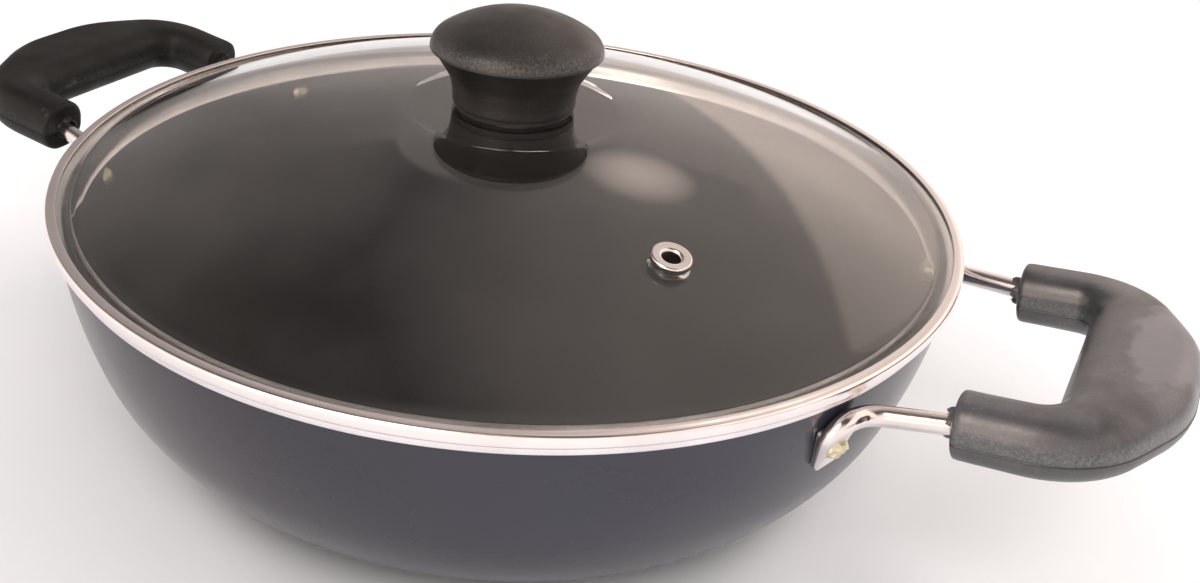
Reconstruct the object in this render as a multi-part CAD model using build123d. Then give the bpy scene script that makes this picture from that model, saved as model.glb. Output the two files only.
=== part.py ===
from build123d import *
import math
import os

# Kadai with a glass lid, in millimetres. Z = 0 is the flat base, the axis of the bowl is Z,
# and the two handles stand out along +X (right) and -X (left).

# Bowl: one pressed aluminium shell
rim_radius = 118.8
bowl_height = 66.4
flare_share = 0.8554
heel_share = 0.7982
heel_end_deg = 20.0
wall = 2.8
lip_height = 2.3
lip_proud = 0.5
lip_round = 0.6

# Lid ring: a folded stainless strip round the glass
seat_gap = 0.3
ring_overhang = 2.2
ring_sheet = 0.4
ring_channel = 2.5
ring_top_width = 2.7
ring_round = 0.9
skirt_clearance = 1.1
skirt_depth = 5.4
skirt_curl = 0.9

# Glass: a dome with a flat seat for the knob
glass = 3.0
glass_edge = 2.2
glass_side_gap = 0.4
dome_rise = 21.5
knob_seat_radius = 29.0
edge_land = 3.6
knob_hole_radius = 4.0

# Knob: a moulded mushroom on a gasket
gasket = 1.4
gasket_radius = 15.6
neck_foot_radius = 16.6
neck_top_radius = 18.0
neck_height = 6.8
brim_radius = 22.8
brim_height = 14.6
brim_swell = 0.3
brim_band = 0.7
cap_height = 25.1
neck_round = 0.8
brim_round = 5.0
cap_pocket_radius = 11.5
cap_pocket_depth = 1.0

# Knob fixing: insert, screw and washers
insert_radius = 4.2
insert_length = 12.0
insert_groove = 0.5
screw_radius = 2.5
screw_reach = 8.0
screw_head_radius = 4.6
screw_head_height = 2.7
slot_width = 1.2
slot_depth = 1.1
fit_gap = 0.1
lower_gasket = 1.5
lower_gasket_radius = 9.5
bush_length = 2.4
washer = 1.0
washer_radius = 8.0

# Vent: an eyelet clinched through the glass
vent_distance = 77.0
vent_angle_deg = -32.3
vent_hole_radius = 3.8
vent_bore_radius = 2.2
eyelet_wall = 0.7
eyelet_flange_radius = 4.9
eyelet_flange = 0.9
eyelet_clinch_radius = 4.2
vent_seal = 0.4
vent_washer = 0.6
vent_washer_radius = 5.0

# Handles: a bent steel rod in a moulded grip, with flattened and pierced ends
rod_radius = 2.4
rod_half_spacing = 35.3
handle_tilt_deg = 6.7
handle_rise = 6.2
handle_inset = 0.8
rod_bend_radius = 11.0
rod_splay = 3.8
splay_start = 4.0
splay_bend_radius = 20.0
knee_radius = 6.0
foot_reach = 5.2
foot_rise = 7.9
foot_radius = 2.8
foot_drop = 4.2
tab_splay = 10.1
tab_below_rim = 12.4
tab_thickness = 1.8
tab_tip_reach = 1.9
tab_tip_drop = 7.0
tab_tip_radius = 1.2
tab_heel_reach = 2.6
tab_heel_rise = 3.0
tab_heel_radius = 1.4
tab_eye_radius = 3.1
tab_spread = 2.1
tab_flatten = 3.0
tab_gap = 0.15

# Grip
rod_showing = 13.2
finger_depth = 18.5
bar_depth = 26.1
leg_width = 14.6
grip_height = 14.4
grip_edge_round = 6.2
shoulder_setback = 16.2
shoulder_half_width = 11.0
shoulder_round = 7.0
gap_corner_round = 5.0
leg_end_round = 1.2

# Rivets
rivet_radius = 1.9
rivet_head_radius = 2.9
rivet_head_height = 1.9
rivet_inner_radius = 3.1
rivet_inner_height = 1.5
rivet_gap = 0.1

# One overrun for all cutting tools
overrun = 5.0

# The bowl's section: its flare and its heel go with its height
base_radius = rim_radius - bowl_height * flare_share
heel_radius = bowl_height * heel_share

# Handles: everything is counted from the rim and from the rivets
tab_height = bowl_height - tab_below_rim
tab_half_spacing = rod_half_spacing + tab_splay
handle_root_height = tab_height + handle_rise
handle_root_reach = rim_radius - handle_inset
grip_start = rim_radius + rod_showing
grip_inner = grip_start + finger_depth
grip_outer = grip_inner + bar_depth
shoulder_start = grip_outer - shoulder_setback

# Lid: heights and radii from the rim upwards
ring_radius = rim_radius + ring_overhang
ring_low = bowl_height + seat_gap
ring_high = ring_low + ring_channel + 2 * ring_sheet
glass_low = ring_low + ring_sheet + (ring_channel - glass_edge) / 2
glass_high = glass_low + glass_edge
glass_radius = ring_radius - ring_sheet - glass_side_gap
dome_edge_radius = glass_radius - edge_land
knob_seat_height = glass_high + dome_rise
knob_base = knob_seat_height + gasket
glass_under = knob_seat_height - glass


def polar(centre, radius, angle):
    """Point at an angle below the horizontal on an arc of the wall's section."""
    return (centre[0] + radius * math.cos(angle), centre[1] - radius * math.sin(angle))


def wall_arcs():
    """Centres, radii and end angles of the two arcs of the bowl's outer section."""
    heel = math.radians(heel_end_deg)
    heel_centre = (base_radius, heel_radius)
    across = rim_radius - heel_centre[0]
    rise = bowl_height - heel_centre[1]
    along = across * math.cos(heel) - rise * math.sin(heel)
    reach = across**2 + rise**2
    side_radius = (reach - 2 * heel_radius * along + heel_radius**2) / (2 * (heel_radius - along))
    shift = side_radius - heel_radius
    side_centre = (heel_centre[0] - shift * math.cos(heel), heel_centre[1] + shift * math.sin(heel))
    rim = math.asin((side_centre[1] - bowl_height) / side_radius)
    return heel_centre, heel_radius, side_centre, side_radius, heel, rim


def wall_radius(height, inset=0.0):
    """Radius of the bowl's wall at a height, set in from the outside."""
    heel_centre, heel_r, side_centre, side_r, heel, rim = wall_arcs()
    joint = heel_centre[1] - (heel_r - inset) * math.sin(heel)
    centre, radius = (side_centre, side_r) if height > joint else (heel_centre, heel_r)
    return centre[0] + math.sqrt((radius - inset) ** 2 - (height - centre[1]) ** 2)


def wall_slope(height):
    """Angle of the wall's outward normal below the horizontal at a height."""
    heel_centre, heel_r, side_centre, side_r, heel, rim = wall_arcs()
    joint = heel_centre[1] - heel_r * math.sin(heel)
    centre, radius = (side_centre, side_r) if height > joint else (heel_centre, heel_r)
    return math.asin((centre[1] - height) / radius)


def section_arcs(inset):
    """The two arcs of the wall's section from the floor up to the rim, set in from the outside."""
    heel_centre, heel_r, side_centre, side_r, heel, rim = wall_arcs()
    lower, upper = heel_r - inset, side_r - inset
    top = math.asin((side_centre[1] - bowl_height) / upper)
    flat = math.pi / 2
    low_arc = ThreePointArc(
        polar(heel_centre, lower, flat),
        polar(heel_centre, lower, (flat + heel) / 2),
        polar(heel_centre, lower, heel),
    )
    high_arc = ThreePointArc(
        polar(side_centre, upper, heel),
        polar(side_centre, upper, (heel + top) / 2),
        polar(side_centre, upper, top),
    )
    return low_arc, high_arc


def polygon_ring(*points):
    """Solid of revolution from the corners of its section, as radius and height."""
    return revolve(Plane.XZ * make_face(Polyline(*points, close=True)), Axis.Z)


def disc(radius, low, high, bore=0.0):
    """Round disc or washer between two heights."""
    body = Pos(0, 0, (low + high) / 2) * Cylinder(radius, high - low)
    if bore:
        body -= Pos(0, 0, (low + high) / 2) * Cylinder(bore, high - low + overrun)
    return body


def rivet_frame(side, end):
    """Plane on the bowl's outer wall at a rivet: Z out of the wall, Y up it."""
    radius = wall_radius(tab_height)
    turn = math.asin(tab_half_spacing / radius)
    slope = wall_slope(tab_height)
    around = end * turn if side > 0 else math.pi - end * turn
    out = Vector(math.cos(around) * math.cos(slope), math.sin(around) * math.cos(slope), -math.sin(slope))
    across = Vector(-math.sin(around), math.cos(around), 0)
    spot = Vector(radius * math.cos(around), radius * math.sin(around), tab_height)
    return Plane(origin=spot, x_dir=across, z_dir=out)


def make_bowl():
    """Pressed shell with a flat base, a turned lip and four rivet holes."""
    outer_low, outer_high = section_arcs(0.0)
    inner_low, inner_high = section_arcs(wall)
    outline = [
        Line((0, 0), outer_low @ 0),
        outer_low,
        outer_high,
        Line(outer_high @ 1, inner_high @ 1),
        inner_high,
        inner_low,
        Line(inner_low @ 0, (0, wall)),
        Line((0, wall), (0, 0)),
    ]
    body = revolve(Plane.XZ * make_face(outline), Axis.Z)
    lip_low = bowl_height - lip_height
    lip = polygon_ring(
        (rim_radius - wall / 2, bowl_height),
        (rim_radius + lip_proud, bowl_height),
        (rim_radius + lip_proud, lip_low + lip_proud),
        (wall_radius(lip_low) - wall / 2, lip_low),
    )
    body = body + lip
    rim_edges = body.edges().filter_by(GeomType.CIRCLE).filter_by(
        lambda edge: abs(edge.center().Z - bowl_height) < lip_proud
    )
    body = fillet(rim_edges, lip_round)
    for side in (1, -1):
        for end in (1, -1):
            hole = rivet_frame(side, end) * Cylinder(rivet_radius + rivet_gap, 2 * (wall + overrun))
            body -= hole
    return body


def handle_plane(side, reach, across):
    """Point on the handle's sloping plane."""
    rise = (reach - handle_root_reach) * math.tan(math.radians(handle_tilt_deg))
    return Vector(side * reach, across, handle_root_height + rise)


def leg_entry(side, end):
    """Where the rod's leg leaves its straight run in the grip and starts to splay."""
    return handle_plane(side, grip_start + splay_start, end * rod_half_spacing)


def handle_knee(side, end):
    """Where the rod's leg in the handle's plane meets its foot along the wall."""
    frame = rivet_frame(side, end)
    start = handle_plane(side, handle_root_reach, end * (rod_half_spacing + rod_splay))
    along = leg_entry(side, end) - start
    lift = (start - frame.origin).dot(frame.z_dir)
    return start + along * ((tab_gap + rod_radius - lift) / along.dot(frame.z_dir))


def make_tab(side, end):
    """Flattened end of the rod: it turns down the wall and spreads into a pierced leaf."""
    frame = rivet_frame(side, end)
    outward = frame.x_dir * (side * end)
    floor = frame.origin + frame.z_dir * tab_gap
    level = floor + frame.z_dir * rod_radius
    foot = level + outward * foot_reach + frame.y_dir * foot_rise
    tip = level + outward * tab_tip_reach - frame.y_dir * tab_tip_drop
    down = (tip - foot).normalized()
    root = foot + down * foot_drop
    flat = root + down * tab_flatten - frame.z_dir * (rod_radius - tab_thickness / 2)
    leaf_plane = Plane(origin=floor, x_dir=outward, z_dir=frame.z_dir)
    corners = [
        (leaf_plane.to_local_coords(flat), tab_spread),
        (leaf_plane.to_local_coords(tip), tab_tip_radius),
        (Vector(-tab_heel_reach, side * end * tab_heel_rise, 0), tab_heel_radius),
        (Vector(0, 0, 0), tab_eye_radius),
    ]
    rounds = [Pos(spot.X, spot.Y) * Circle(radius) for spot, radius in corners]
    leaf = make_hull([edge for disk in rounds for edge in disk.edges()])
    tab = leaf_plane * extrude(leaf, tab_thickness)
    round_end = Plane(origin=root, x_dir=frame.z_dir, z_dir=down) * Circle(rod_radius)
    flat_end = Plane(origin=flat, x_dir=frame.z_dir, z_dir=down) * Ellipse(tab_thickness / 2, tab_spread)
    tab += loft([round_end, flat_end])
    tab -= frame * Cylinder(rivet_radius + rivet_gap, 2 * (tab_thickness + overrun))
    return tab, root, foot


def make_handle_rod(side):
    """Round rod bent to a U: it meets the wall, runs along it and ends in pierced tabs."""
    bar = (grip_inner + grip_outer) / 2
    front, front_root, front_foot = make_tab(side, -1)
    rear, rear_root, rear_foot = make_tab(side, 1)
    path = FilletPolyline(
        front_root,
        front_foot,
        handle_knee(side, -1),
        leg_entry(side, -1),
        handle_plane(side, bar, -rod_half_spacing),
        handle_plane(side, bar, rod_half_spacing),
        leg_entry(side, 1),
        handle_knee(side, 1),
        rear_foot,
        rear_root,
        radius=[
            foot_radius,
            knee_radius,
            splay_bend_radius,
            rod_bend_radius,
            rod_bend_radius,
            splay_bend_radius,
            knee_radius,
            foot_radius,
        ],
    )
    start = Plane(origin=path @ 0, z_dir=path % 0)
    rod = sweep(start * Circle(rod_radius), path=path)
    return rod + front + rear


def grip_outline():
    """Plan of the grip: a squared C with cut-off outer corners."""
    half = rod_half_spacing + leg_width / 2
    gap = rod_half_spacing - leg_width / 2
    corners = [
        (grip_start, half),
        (shoulder_start, half),
        (grip_outer, shoulder_half_width),
        (grip_outer, -shoulder_half_width),
        (shoulder_start, -half),
        (grip_start, -half),
        (grip_start, -gap),
        (grip_inner, -gap),
        (grip_inner, gap),
        (grip_start, gap),
    ]
    face = make_face(Polyline(*corners, close=True))
    shoulders = face.vertices().filter_by(lambda v: v.X > shoulder_start - overrun)
    face = fillet(shoulders, shoulder_round)
    nooks = face.vertices().filter_by(
        lambda v: abs(v.X - grip_inner) < overrun and abs(v.Y) < gap + overrun / 2
    )
    return fillet(nooks, gap_corner_round)


def make_grip(side, rod):
    """Moulded grip with rounded edges, its channel following the rod."""
    body = extrude(grip_outline(), grip_height / 2, both=True)
    long_edges = body.faces().filter_by(Axis.Z).edges().filter_by(
        lambda edge: edge.center().X > grip_start + leg_end_round
    )
    body = fillet(long_edges, grip_edge_round)
    mouths = body.faces().filter_by(Axis.X).sort_by(Axis.X)[:2].edges()
    body = fillet(mouths, leg_end_round)
    body = Pos(handle_root_reach, 0, handle_root_height) * (
        Rot(0, -handle_tilt_deg, 0) * (Pos(-handle_root_reach, 0, 0) * body)
    )
    if side < 0:
        body = Rot(0, 0, 180) * body
    return body - rod


def make_rivet(side, end):
    """Rivet with a domed head outside on the tab and a flatter one inside the bowl."""
    frame = rivet_frame(side, end)
    seat = tab_gap + tab_thickness + rivet_gap
    back = wall + rivet_gap
    shank = Pos(0, 0, (seat - back) / 2) * Cylinder(rivet_radius, seat + back)
    outer = dome(rivet_head_radius, rivet_head_height)
    inner = dome(rivet_inner_radius, rivet_inner_height)
    body = shank + Pos(0, 0, seat) * outer + Pos(0, 0, -back) * (Rot(180, 0, 0) * inner)
    return frame * body


def dome(radius, height):
    """Round cap standing on Z = 0."""
    ball = (radius**2 + height**2) / (2 * height)
    half = math.asin(radius / ball) / 2
    arc = ThreePointArc(
        (radius, 0),
        (ball * math.sin(half), height - ball + ball * math.cos(half)),
        (0, height),
    )
    section = make_face([Line((0, 0), (radius, 0)), arc, Line((0, height), (0, 0))])
    return revolve(Plane.XZ * section, Axis.Z)


def dome_centre():
    """Height of the centre and radius of the glass's outer sphere."""
    low = (dome_edge_radius, glass_high)
    high = (knob_seat_radius, knob_seat_height)
    centre = (low[0] ** 2 + low[1] ** 2 - high[0] ** 2 - high[1] ** 2) / (2 * (low[1] - high[1]))
    return centre, math.hypot(low[0], low[1] - centre)


def glass_top(radius):
    """Height of the glass's outer face at a radius."""
    if radius <= knob_seat_radius:
        return knob_seat_height
    if radius >= dome_edge_radius:
        return glass_high
    centre, ball = dome_centre()
    return centre + math.sqrt(ball**2 - radius**2)


def vent_plane():
    """Plane on the glass at the vent: Z out of the glass."""
    centre, ball = dome_centre()
    turn = math.radians(vent_angle_deg)
    tip = math.asin(vent_distance / ball)
    out = Vector(math.sin(tip) * math.cos(turn), math.sin(tip) * math.sin(turn), math.cos(tip))
    spot = Vector(0, 0, centre) + out * ball
    return Plane(origin=spot, x_dir=Vector(-math.sin(turn), math.cos(turn), 0), z_dir=out)


def make_lid_glass():
    """Tempered dome with a flat seat, a ground edge, a knob hole and a vent hole."""
    centre, ball = dome_centre()
    inner = ball - glass
    low_seat = math.sqrt(inner**2 - (glass_under - centre) ** 2)
    low_edge = math.sqrt(inner**2 - (glass_low - centre) ** 2)
    top_mid = math.hypot(knob_seat_radius, dome_edge_radius) / math.sqrt(2)
    low_mid = (low_seat + low_edge) / 2
    top_arc = ThreePointArc(
        (dome_edge_radius, glass_high), (top_mid, glass_top(top_mid)), (knob_seat_radius, knob_seat_height)
    )
    low_arc = ThreePointArc(
        (low_seat, glass_under),
        (low_mid, centre + math.sqrt(inner**2 - low_mid**2)),
        (low_edge, glass_low),
    )
    outline = [
        Line((0, glass_under), (low_seat, glass_under)),
        low_arc,
        Line((low_edge, glass_low), (glass_radius, glass_low)),
        Line((glass_radius, glass_low), (glass_radius, glass_high)),
        Line((glass_radius, glass_high), (dome_edge_radius, glass_high)),
        top_arc,
        Line((knob_seat_radius, knob_seat_height), (0, knob_seat_height)),
        Line((0, knob_seat_height), (0, glass_under)),
    ]
    body = revolve(Plane.XZ * make_face(outline), Axis.Z)
    body -= disc(knob_hole_radius, glass_under - overrun, knob_seat_height + overrun)
    body -= vent_plane() * Cylinder(vent_hole_radius, 2 * (glass + overrun))
    return body


def skirt_radius():
    """Outer radius of the ring's skirt, clear of the bowl's wall down to its foot."""
    return wall_radius(ring_low - skirt_depth, wall) - skirt_clearance


def make_lid_ring():
    """Folded strip: top flange, outer band, seat flange and a skirt that dips into the bowl."""
    skirt = skirt_radius()
    foot = ring_low - skirt_depth
    inner_top = ring_radius - ring_top_width
    outline = Polyline(
        (inner_top, ring_high),
        (ring_radius, ring_high),
        (ring_radius, ring_low),
        (skirt, ring_low),
        (skirt, foot),
        (skirt - skirt_curl, foot - skirt_curl),
        (skirt - skirt_curl - ring_sheet, foot - skirt_curl),
        (skirt - ring_sheet, foot + ring_sheet / 2),
        (skirt - ring_sheet, ring_low + ring_sheet),
        (ring_radius - ring_sheet, ring_low + ring_sheet),
        (ring_radius - ring_sheet, ring_high - ring_sheet),
        (inner_top, ring_high - ring_sheet),
        close=True,
    )
    face = make_face(outline)
    corners = face.vertices().filter_by(
        lambda v: abs(v.X - ring_radius) < ring_sheet / 2 and v.Y > ring_low - ring_sheet
    )
    face = fillet(corners, ring_round)
    return revolve(Plane.XZ * face, Axis.Z)


def make_ring_seal():
    """Bead of sealant that holds the glass's edge in the ring."""
    inside = ring_radius - ring_sheet
    low = ring_low + ring_sheet
    high = ring_high - ring_sheet
    body = polygon_ring(
        (glass_radius, low + ring_round),
        (inside, low + ring_round),
        (inside, high - ring_round),
        (glass_radius, high - ring_round),
    )
    return body


def cap_section(brim, low, high):
    """Section of the knob's cap: a rounded brim that runs into a shallow dome."""
    centre = (brim - brim_round, low)
    rise = high - low
    ball = (centre[0] ** 2 + rise**2 - brim_round**2) / (2 * (rise - brim_round))
    turn = math.atan2(low - high + ball, centre[0])
    joint = (ball * math.cos(turn), high - ball + ball * math.sin(turn))
    edge = ThreePointArc(
        (brim, low),
        (centre[0] + brim_round * math.cos(turn / 2), low + brim_round * math.sin(turn / 2)),
        joint,
    )
    half = (turn + math.pi / 2) / 2
    crown = ThreePointArc(joint, (ball * math.cos(half), high - ball + ball * math.sin(half)), (0, high))
    return edge, crown


def make_knob(insert):
    """Moulded mushroom: a waisted neck under a brim and a domed cap, hollowed for its insert."""
    neck_top = knob_base + neck_height
    crease = knob_base + brim_height
    low = crease + brim_band
    top = knob_base + cap_height
    edge, crown = cap_section(brim_radius + brim_swell, low, top)
    foot = (neck_foot_radius, knob_base)
    waist = (neck_top_radius, neck_top)
    pocket = knob_base + cap_pocket_depth
    outline = [
        Line((0, pocket), (cap_pocket_radius, pocket)),
        Line((cap_pocket_radius, pocket), (cap_pocket_radius, knob_base)),
        Line((cap_pocket_radius, knob_base), foot),
        Line(foot, waist),
        Line(waist, (brim_radius, crease)),
        Line((brim_radius, crease), (brim_radius + brim_swell, low)),
        edge,
        crown,
        Line((0, top), (0, pocket)),
    ]
    face = make_face(outline)
    soft = face.vertices().filter_by(
        lambda v: math.dist((v.X, v.Y), foot) < neck_round or math.dist((v.X, v.Y), waist) < neck_round
    )
    face = fillet(soft, neck_round)
    return revolve(Plane.XZ * face, Axis.Z) - insert


def make_knob_insert():
    """Threaded brass bush moulded into the knob, with a retaining groove."""
    low = knob_base + cap_pocket_depth
    high = low + insert_length
    mid = (low + high) / 2
    body = disc(insert_radius, low, high)
    groove_floor = insert_radius - insert_groove
    body -= disc(insert_radius + overrun, mid - insert_groove, mid + insert_groove, groove_floor)
    return body


def make_knob_screw():
    """Slotted pan-head screw, driven up through the glass from below."""
    head_top = glass_under - lower_gasket - washer
    tip = knob_base + cap_pocket_depth + screw_reach
    body = disc(screw_radius, head_top, tip)
    head = Rot(180, 0, 0) * dome(screw_head_radius, screw_head_height)
    body += Pos(0, 0, head_top) * head
    slot_low = head_top - screw_head_height
    body -= Pos(0, 0, slot_low) * Box(2 * (screw_head_radius + overrun), slot_width, 2 * slot_depth)
    return body


def make_knob_gasket():
    """Thin ring between the knob's foot and the glass."""
    return disc(gasket_radius, knob_seat_height, knob_base, knob_hole_radius)


def make_lower_gasket():
    """Rubber washer under the glass, with a bush that lines the hole."""
    under = glass_under - lower_gasket
    body = disc(lower_gasket_radius, under, glass_under)
    body += disc(knob_hole_radius - fit_gap, under, under + lower_gasket + bush_length)
    return body - disc(screw_radius + fit_gap, under - overrun, knob_seat_height + overrun)


def make_knob_washer():
    """Steel washer between the screw's head and the rubber."""
    high = glass_under - lower_gasket
    return disc(washer_radius, high - washer, high, screw_radius + fit_gap)


def make_vent_eyelet():
    """Steel eyelet: a rounded flange on the glass, a tube through it and a clinched foot."""
    tube = vent_bore_radius + eyelet_wall
    low = -glass - fit_gap - vent_washer
    face_low = vent_seal
    top = face_low + eyelet_flange
    outline = Polyline(
        (vent_bore_radius, low - eyelet_wall),
        (eyelet_clinch_radius, low - eyelet_wall),
        (eyelet_clinch_radius, low),
        (tube, low),
        (tube, face_low),
        (eyelet_flange_radius, face_low),
        (eyelet_flange_radius, top),
        (vent_bore_radius, top),
        close=True,
    )
    face = make_face(outline)
    rounded = face.vertices().filter_by(lambda v: v.Y > top - eyelet_flange / 2)
    face = fillet(rounded, eyelet_flange / 2)
    return vent_plane() * revolve(Plane.XZ * face, Axis.Z)


def make_vent_seal():
    """Silicone collar between the eyelet and the glass."""
    tube = vent_bore_radius + eyelet_wall
    collar = disc(vent_hole_radius - fit_gap, -glass, vent_seal)
    collar += disc(eyelet_flange_radius, 0, vent_seal)
    return vent_plane() * (collar - disc(tube, -glass - overrun, glass + overrun))


def make_vent_washer():
    """Steel washer under the glass that the eyelet is clinched over."""
    high = -glass - fit_gap
    return vent_plane() * disc(vent_washer_radius, high - vent_washer, high, vent_bore_radius + eyelet_wall)


def build():
    """Every sub-part by its node name."""
    insert = make_knob_insert()
    screw = make_knob_screw()
    parts = {"bowl": make_bowl()}
    for side, name in ((1, "right"), (-1, "left")):
        rod = make_handle_rod(side)
        parts["handle_rod_" + name] = rod
        parts["grip_" + name] = make_grip(side, rod)
        for end, place in ((-1, "front"), (1, "rear")):
            parts["rivet_" + name + "_" + place] = make_rivet(side, end)
    parts["lid_glass"] = make_lid_glass()
    parts["lid_ring"] = make_lid_ring()
    parts["ring_seal"] = make_ring_seal()
    parts["knob"] = make_knob(insert)
    parts["knob_insert"] = insert - screw
    parts["knob_screw"] = screw
    parts["knob_gasket"] = make_knob_gasket()
    parts["knob_lower_gasket"] = make_lower_gasket()
    parts["knob_washer"] = make_knob_washer()
    parts["vent_eyelet"] = make_vent_eyelet()
    parts["vent_seal"] = make_vent_seal()
    parts["vent_washer"] = make_vent_washer()
    return parts


os.makedirs("parts", exist_ok=True)
for node, solid in build().items():
    export_step(solid, os.path.join("parts", node + ".step"))
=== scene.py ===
"""Kadai with a glass lid: the dressed pieces, the studio and the camera."""

import logging
import math
from collections.abc import Callable, Iterable, Sequence
from dataclasses import dataclass, field
from enum import Enum

import bmesh
import bpy
from mathutils import Matrix, Vector


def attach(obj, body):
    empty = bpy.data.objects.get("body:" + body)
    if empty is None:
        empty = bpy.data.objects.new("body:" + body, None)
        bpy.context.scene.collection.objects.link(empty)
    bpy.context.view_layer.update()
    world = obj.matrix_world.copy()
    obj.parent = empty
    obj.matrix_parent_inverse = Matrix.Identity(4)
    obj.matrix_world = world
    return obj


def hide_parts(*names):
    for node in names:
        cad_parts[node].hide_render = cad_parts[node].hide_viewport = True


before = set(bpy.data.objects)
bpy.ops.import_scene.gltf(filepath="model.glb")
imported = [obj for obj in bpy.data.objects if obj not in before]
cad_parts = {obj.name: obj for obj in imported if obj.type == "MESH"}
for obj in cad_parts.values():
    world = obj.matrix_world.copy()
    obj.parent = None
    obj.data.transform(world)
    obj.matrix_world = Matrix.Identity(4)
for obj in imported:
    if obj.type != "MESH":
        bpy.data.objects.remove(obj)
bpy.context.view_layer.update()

LOG = logging.getLogger("kadai")
MM = 0.001

Profile = list[tuple[float, float, int]]
Colour = tuple[float, float, float]
Range = tuple[float, float]


class Side(Enum):
    """Which handle a piece belongs to."""

    RIGHT = 1
    LEFT = -1


class End(Enum):
    """Which end of a handle a piece sits at."""

    FRONT = -1
    REAR = 1


# ---------------------------------------------------------------- node graphs and finishes


class Graph:
    """A material's node tree with short calls for the nodes used here."""

    def __init__(self, name: str) -> None:
        """Makes an empty material.

        Args:
            name: the material's name.
        """
        self.material = bpy.data.materials.new(name)
        self.material.use_nodes = True
        self.tree = self.material.node_tree
        self.tree.nodes.clear()
        self.output = self.tree.nodes.new("ShaderNodeOutputMaterial")
        self.place = self.tree.nodes.new("ShaderNodeTexCoord").outputs["Object"]

    def node(self, kind: str, **values: object) -> bpy.types.Node:
        """Adds a node and sets its properties.

        Args:
            kind: the node's type name.
            values: properties by name.

        Returns:
            The new node.
        """
        made = self.tree.nodes.new(kind)
        for key, value in values.items():
            setattr(made, key, value)
        return made

    def link(self, source: bpy.types.NodeSocket, target: bpy.types.NodeSocket) -> None:
        """Joins two sockets."""
        self.tree.links.new(source, target)

    def stretched(self, scale: Sequence[float], turn: Sequence[float] = (0, 0, 0)) -> bpy.types.NodeSocket:
        """Object coordinates, scaled along each axis.

        Args:
            scale: factors for X, Y and Z.
            turn: rotation in radians.

        Returns:
            The vector socket.
        """
        mapping = self.node("ShaderNodeMapping")
        mapping.inputs["Scale"].default_value = scale
        mapping.inputs["Rotation"].default_value = turn
        self.link(self.place, mapping.inputs["Vector"])
        return mapping.outputs["Vector"]

    def noise(
        self,
        scale: float,
        detail: float = 3.0,
        rough: float = 0.55,
        place: bpy.types.NodeSocket | None = None,
    ) -> bpy.types.NodeSocket:
        """A noise pattern in object space.

        Args:
            scale: features per metre, roughly.
            detail: octaves.
            rough: how much the small octaves count.
            place: the coordinates, object coordinates if left out.

        Returns:
            The factor socket.
        """
        made = self.node("ShaderNodeTexNoise")
        made.inputs["Scale"].default_value = scale
        made.inputs["Detail"].default_value = detail
        made.inputs["Roughness"].default_value = rough
        self.link(place or self.place, made.inputs["Vector"])
        return made.outputs["Fac"]

    def spots(self, scale: float) -> bpy.types.NodeSocket:
        """Distance to the nearest of many scattered points.

        Args:
            scale: points per metre, roughly.

        Returns:
            The distance socket.
        """
        made = self.node("ShaderNodeTexVoronoi")
        made.inputs["Scale"].default_value = scale
        self.link(self.place, made.inputs["Vector"])
        return made.outputs["Distance"]

    def rings(self, per_metre: float, wobble: float = 0.0) -> bpy.types.NodeSocket:
        """Turning marks round the Z axis.

        Args:
            per_metre: grooves for each metre of radius.
            wobble: how uneven they are.

        Returns:
            The factor socket.
        """
        flat = self.stretched((1, 1, 0))
        made = self.node("ShaderNodeTexWave", wave_type="RINGS", rings_direction="Z")
        made.inputs["Scale"].default_value = per_metre
        made.inputs["Distortion"].default_value = wobble
        made.inputs["Detail"].default_value = 2.0
        self.link(flat, made.inputs["Vector"])
        return made.outputs["Fac"]

    def span(
        self, source: bpy.types.NodeSocket, low: float, high: float, to_low: float, to_high: float
    ) -> bpy.types.NodeSocket:
        """Maps a range of values to another one.

        Args:
            source: the value socket.
            low: start of the source's range.
            high: end of the source's range.
            to_low: result at low.
            to_high: result at high.

        Returns:
            The result socket.
        """
        made = self.node("ShaderNodeMapRange")
        for key, value in (("From Min", low), ("From Max", high), ("To Min", to_low), ("To Max", to_high)):
            made.inputs[key].default_value = value
        self.link(source, made.inputs["Value"])
        return made.outputs["Result"]

    def maths(
        self, kind: str, first: bpy.types.NodeSocket, *others: bpy.types.NodeSocket | float
    ) -> bpy.types.NodeSocket:
        """Chains Math nodes over a socket and further sockets or numbers.

        Args:
            kind: the operation.
            first: the first value.
            others: what joins it, one node for each.

        Returns:
            The result socket.
        """
        for other in others:
            made = self.node("ShaderNodeMath", operation=kind)
            self.link(first, made.inputs[0])
            if isinstance(other, bpy.types.NodeSocket):
                self.link(other, made.inputs[1])
            else:
                made.inputs[1].default_value = other
            first = made.outputs[0]
        return first

    def blend(
        self, share: bpy.types.NodeSocket, first: bpy.types.NodeSocket | Colour, second: Colour
    ) -> bpy.types.NodeSocket:
        """Mixes two colours by a factor.

        Args:
            share: the factor socket.
            first: colour at 0, plain or from a socket.
            second: plain colour at 1.

        Returns:
            The colour socket.
        """
        made = self.node("ShaderNodeMix", data_type="RGBA")
        self.link(share, made.inputs[0])
        if isinstance(first, bpy.types.NodeSocket):
            self.link(first, made.inputs[6])
        else:
            made.inputs[6].default_value = (*first, 1)
        made.inputs[7].default_value = (*second, 1)
        return made.outputs[2]

    def bump(
        self,
        height: bpy.types.NodeSocket,
        depth: float,
        strength: float = 1.0,
        under: bpy.types.NodeSocket | None = None,
    ) -> bpy.types.NodeSocket:
        """Small relief.

        Args:
            height: the height pattern, 0 to 1.
            depth: the relief in metres.
            strength: share of it that shows.
            under: a normal from other relief below it.

        Returns:
            The normal socket.
        """
        made = self.node("ShaderNodeBump")
        made.inputs["Distance"].default_value = depth
        made.inputs["Strength"].default_value = strength
        self.link(height, made.inputs["Height"])
        if under is not None:
            self.link(under, made.inputs["Normal"])
        return made.outputs["Normal"]

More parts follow.
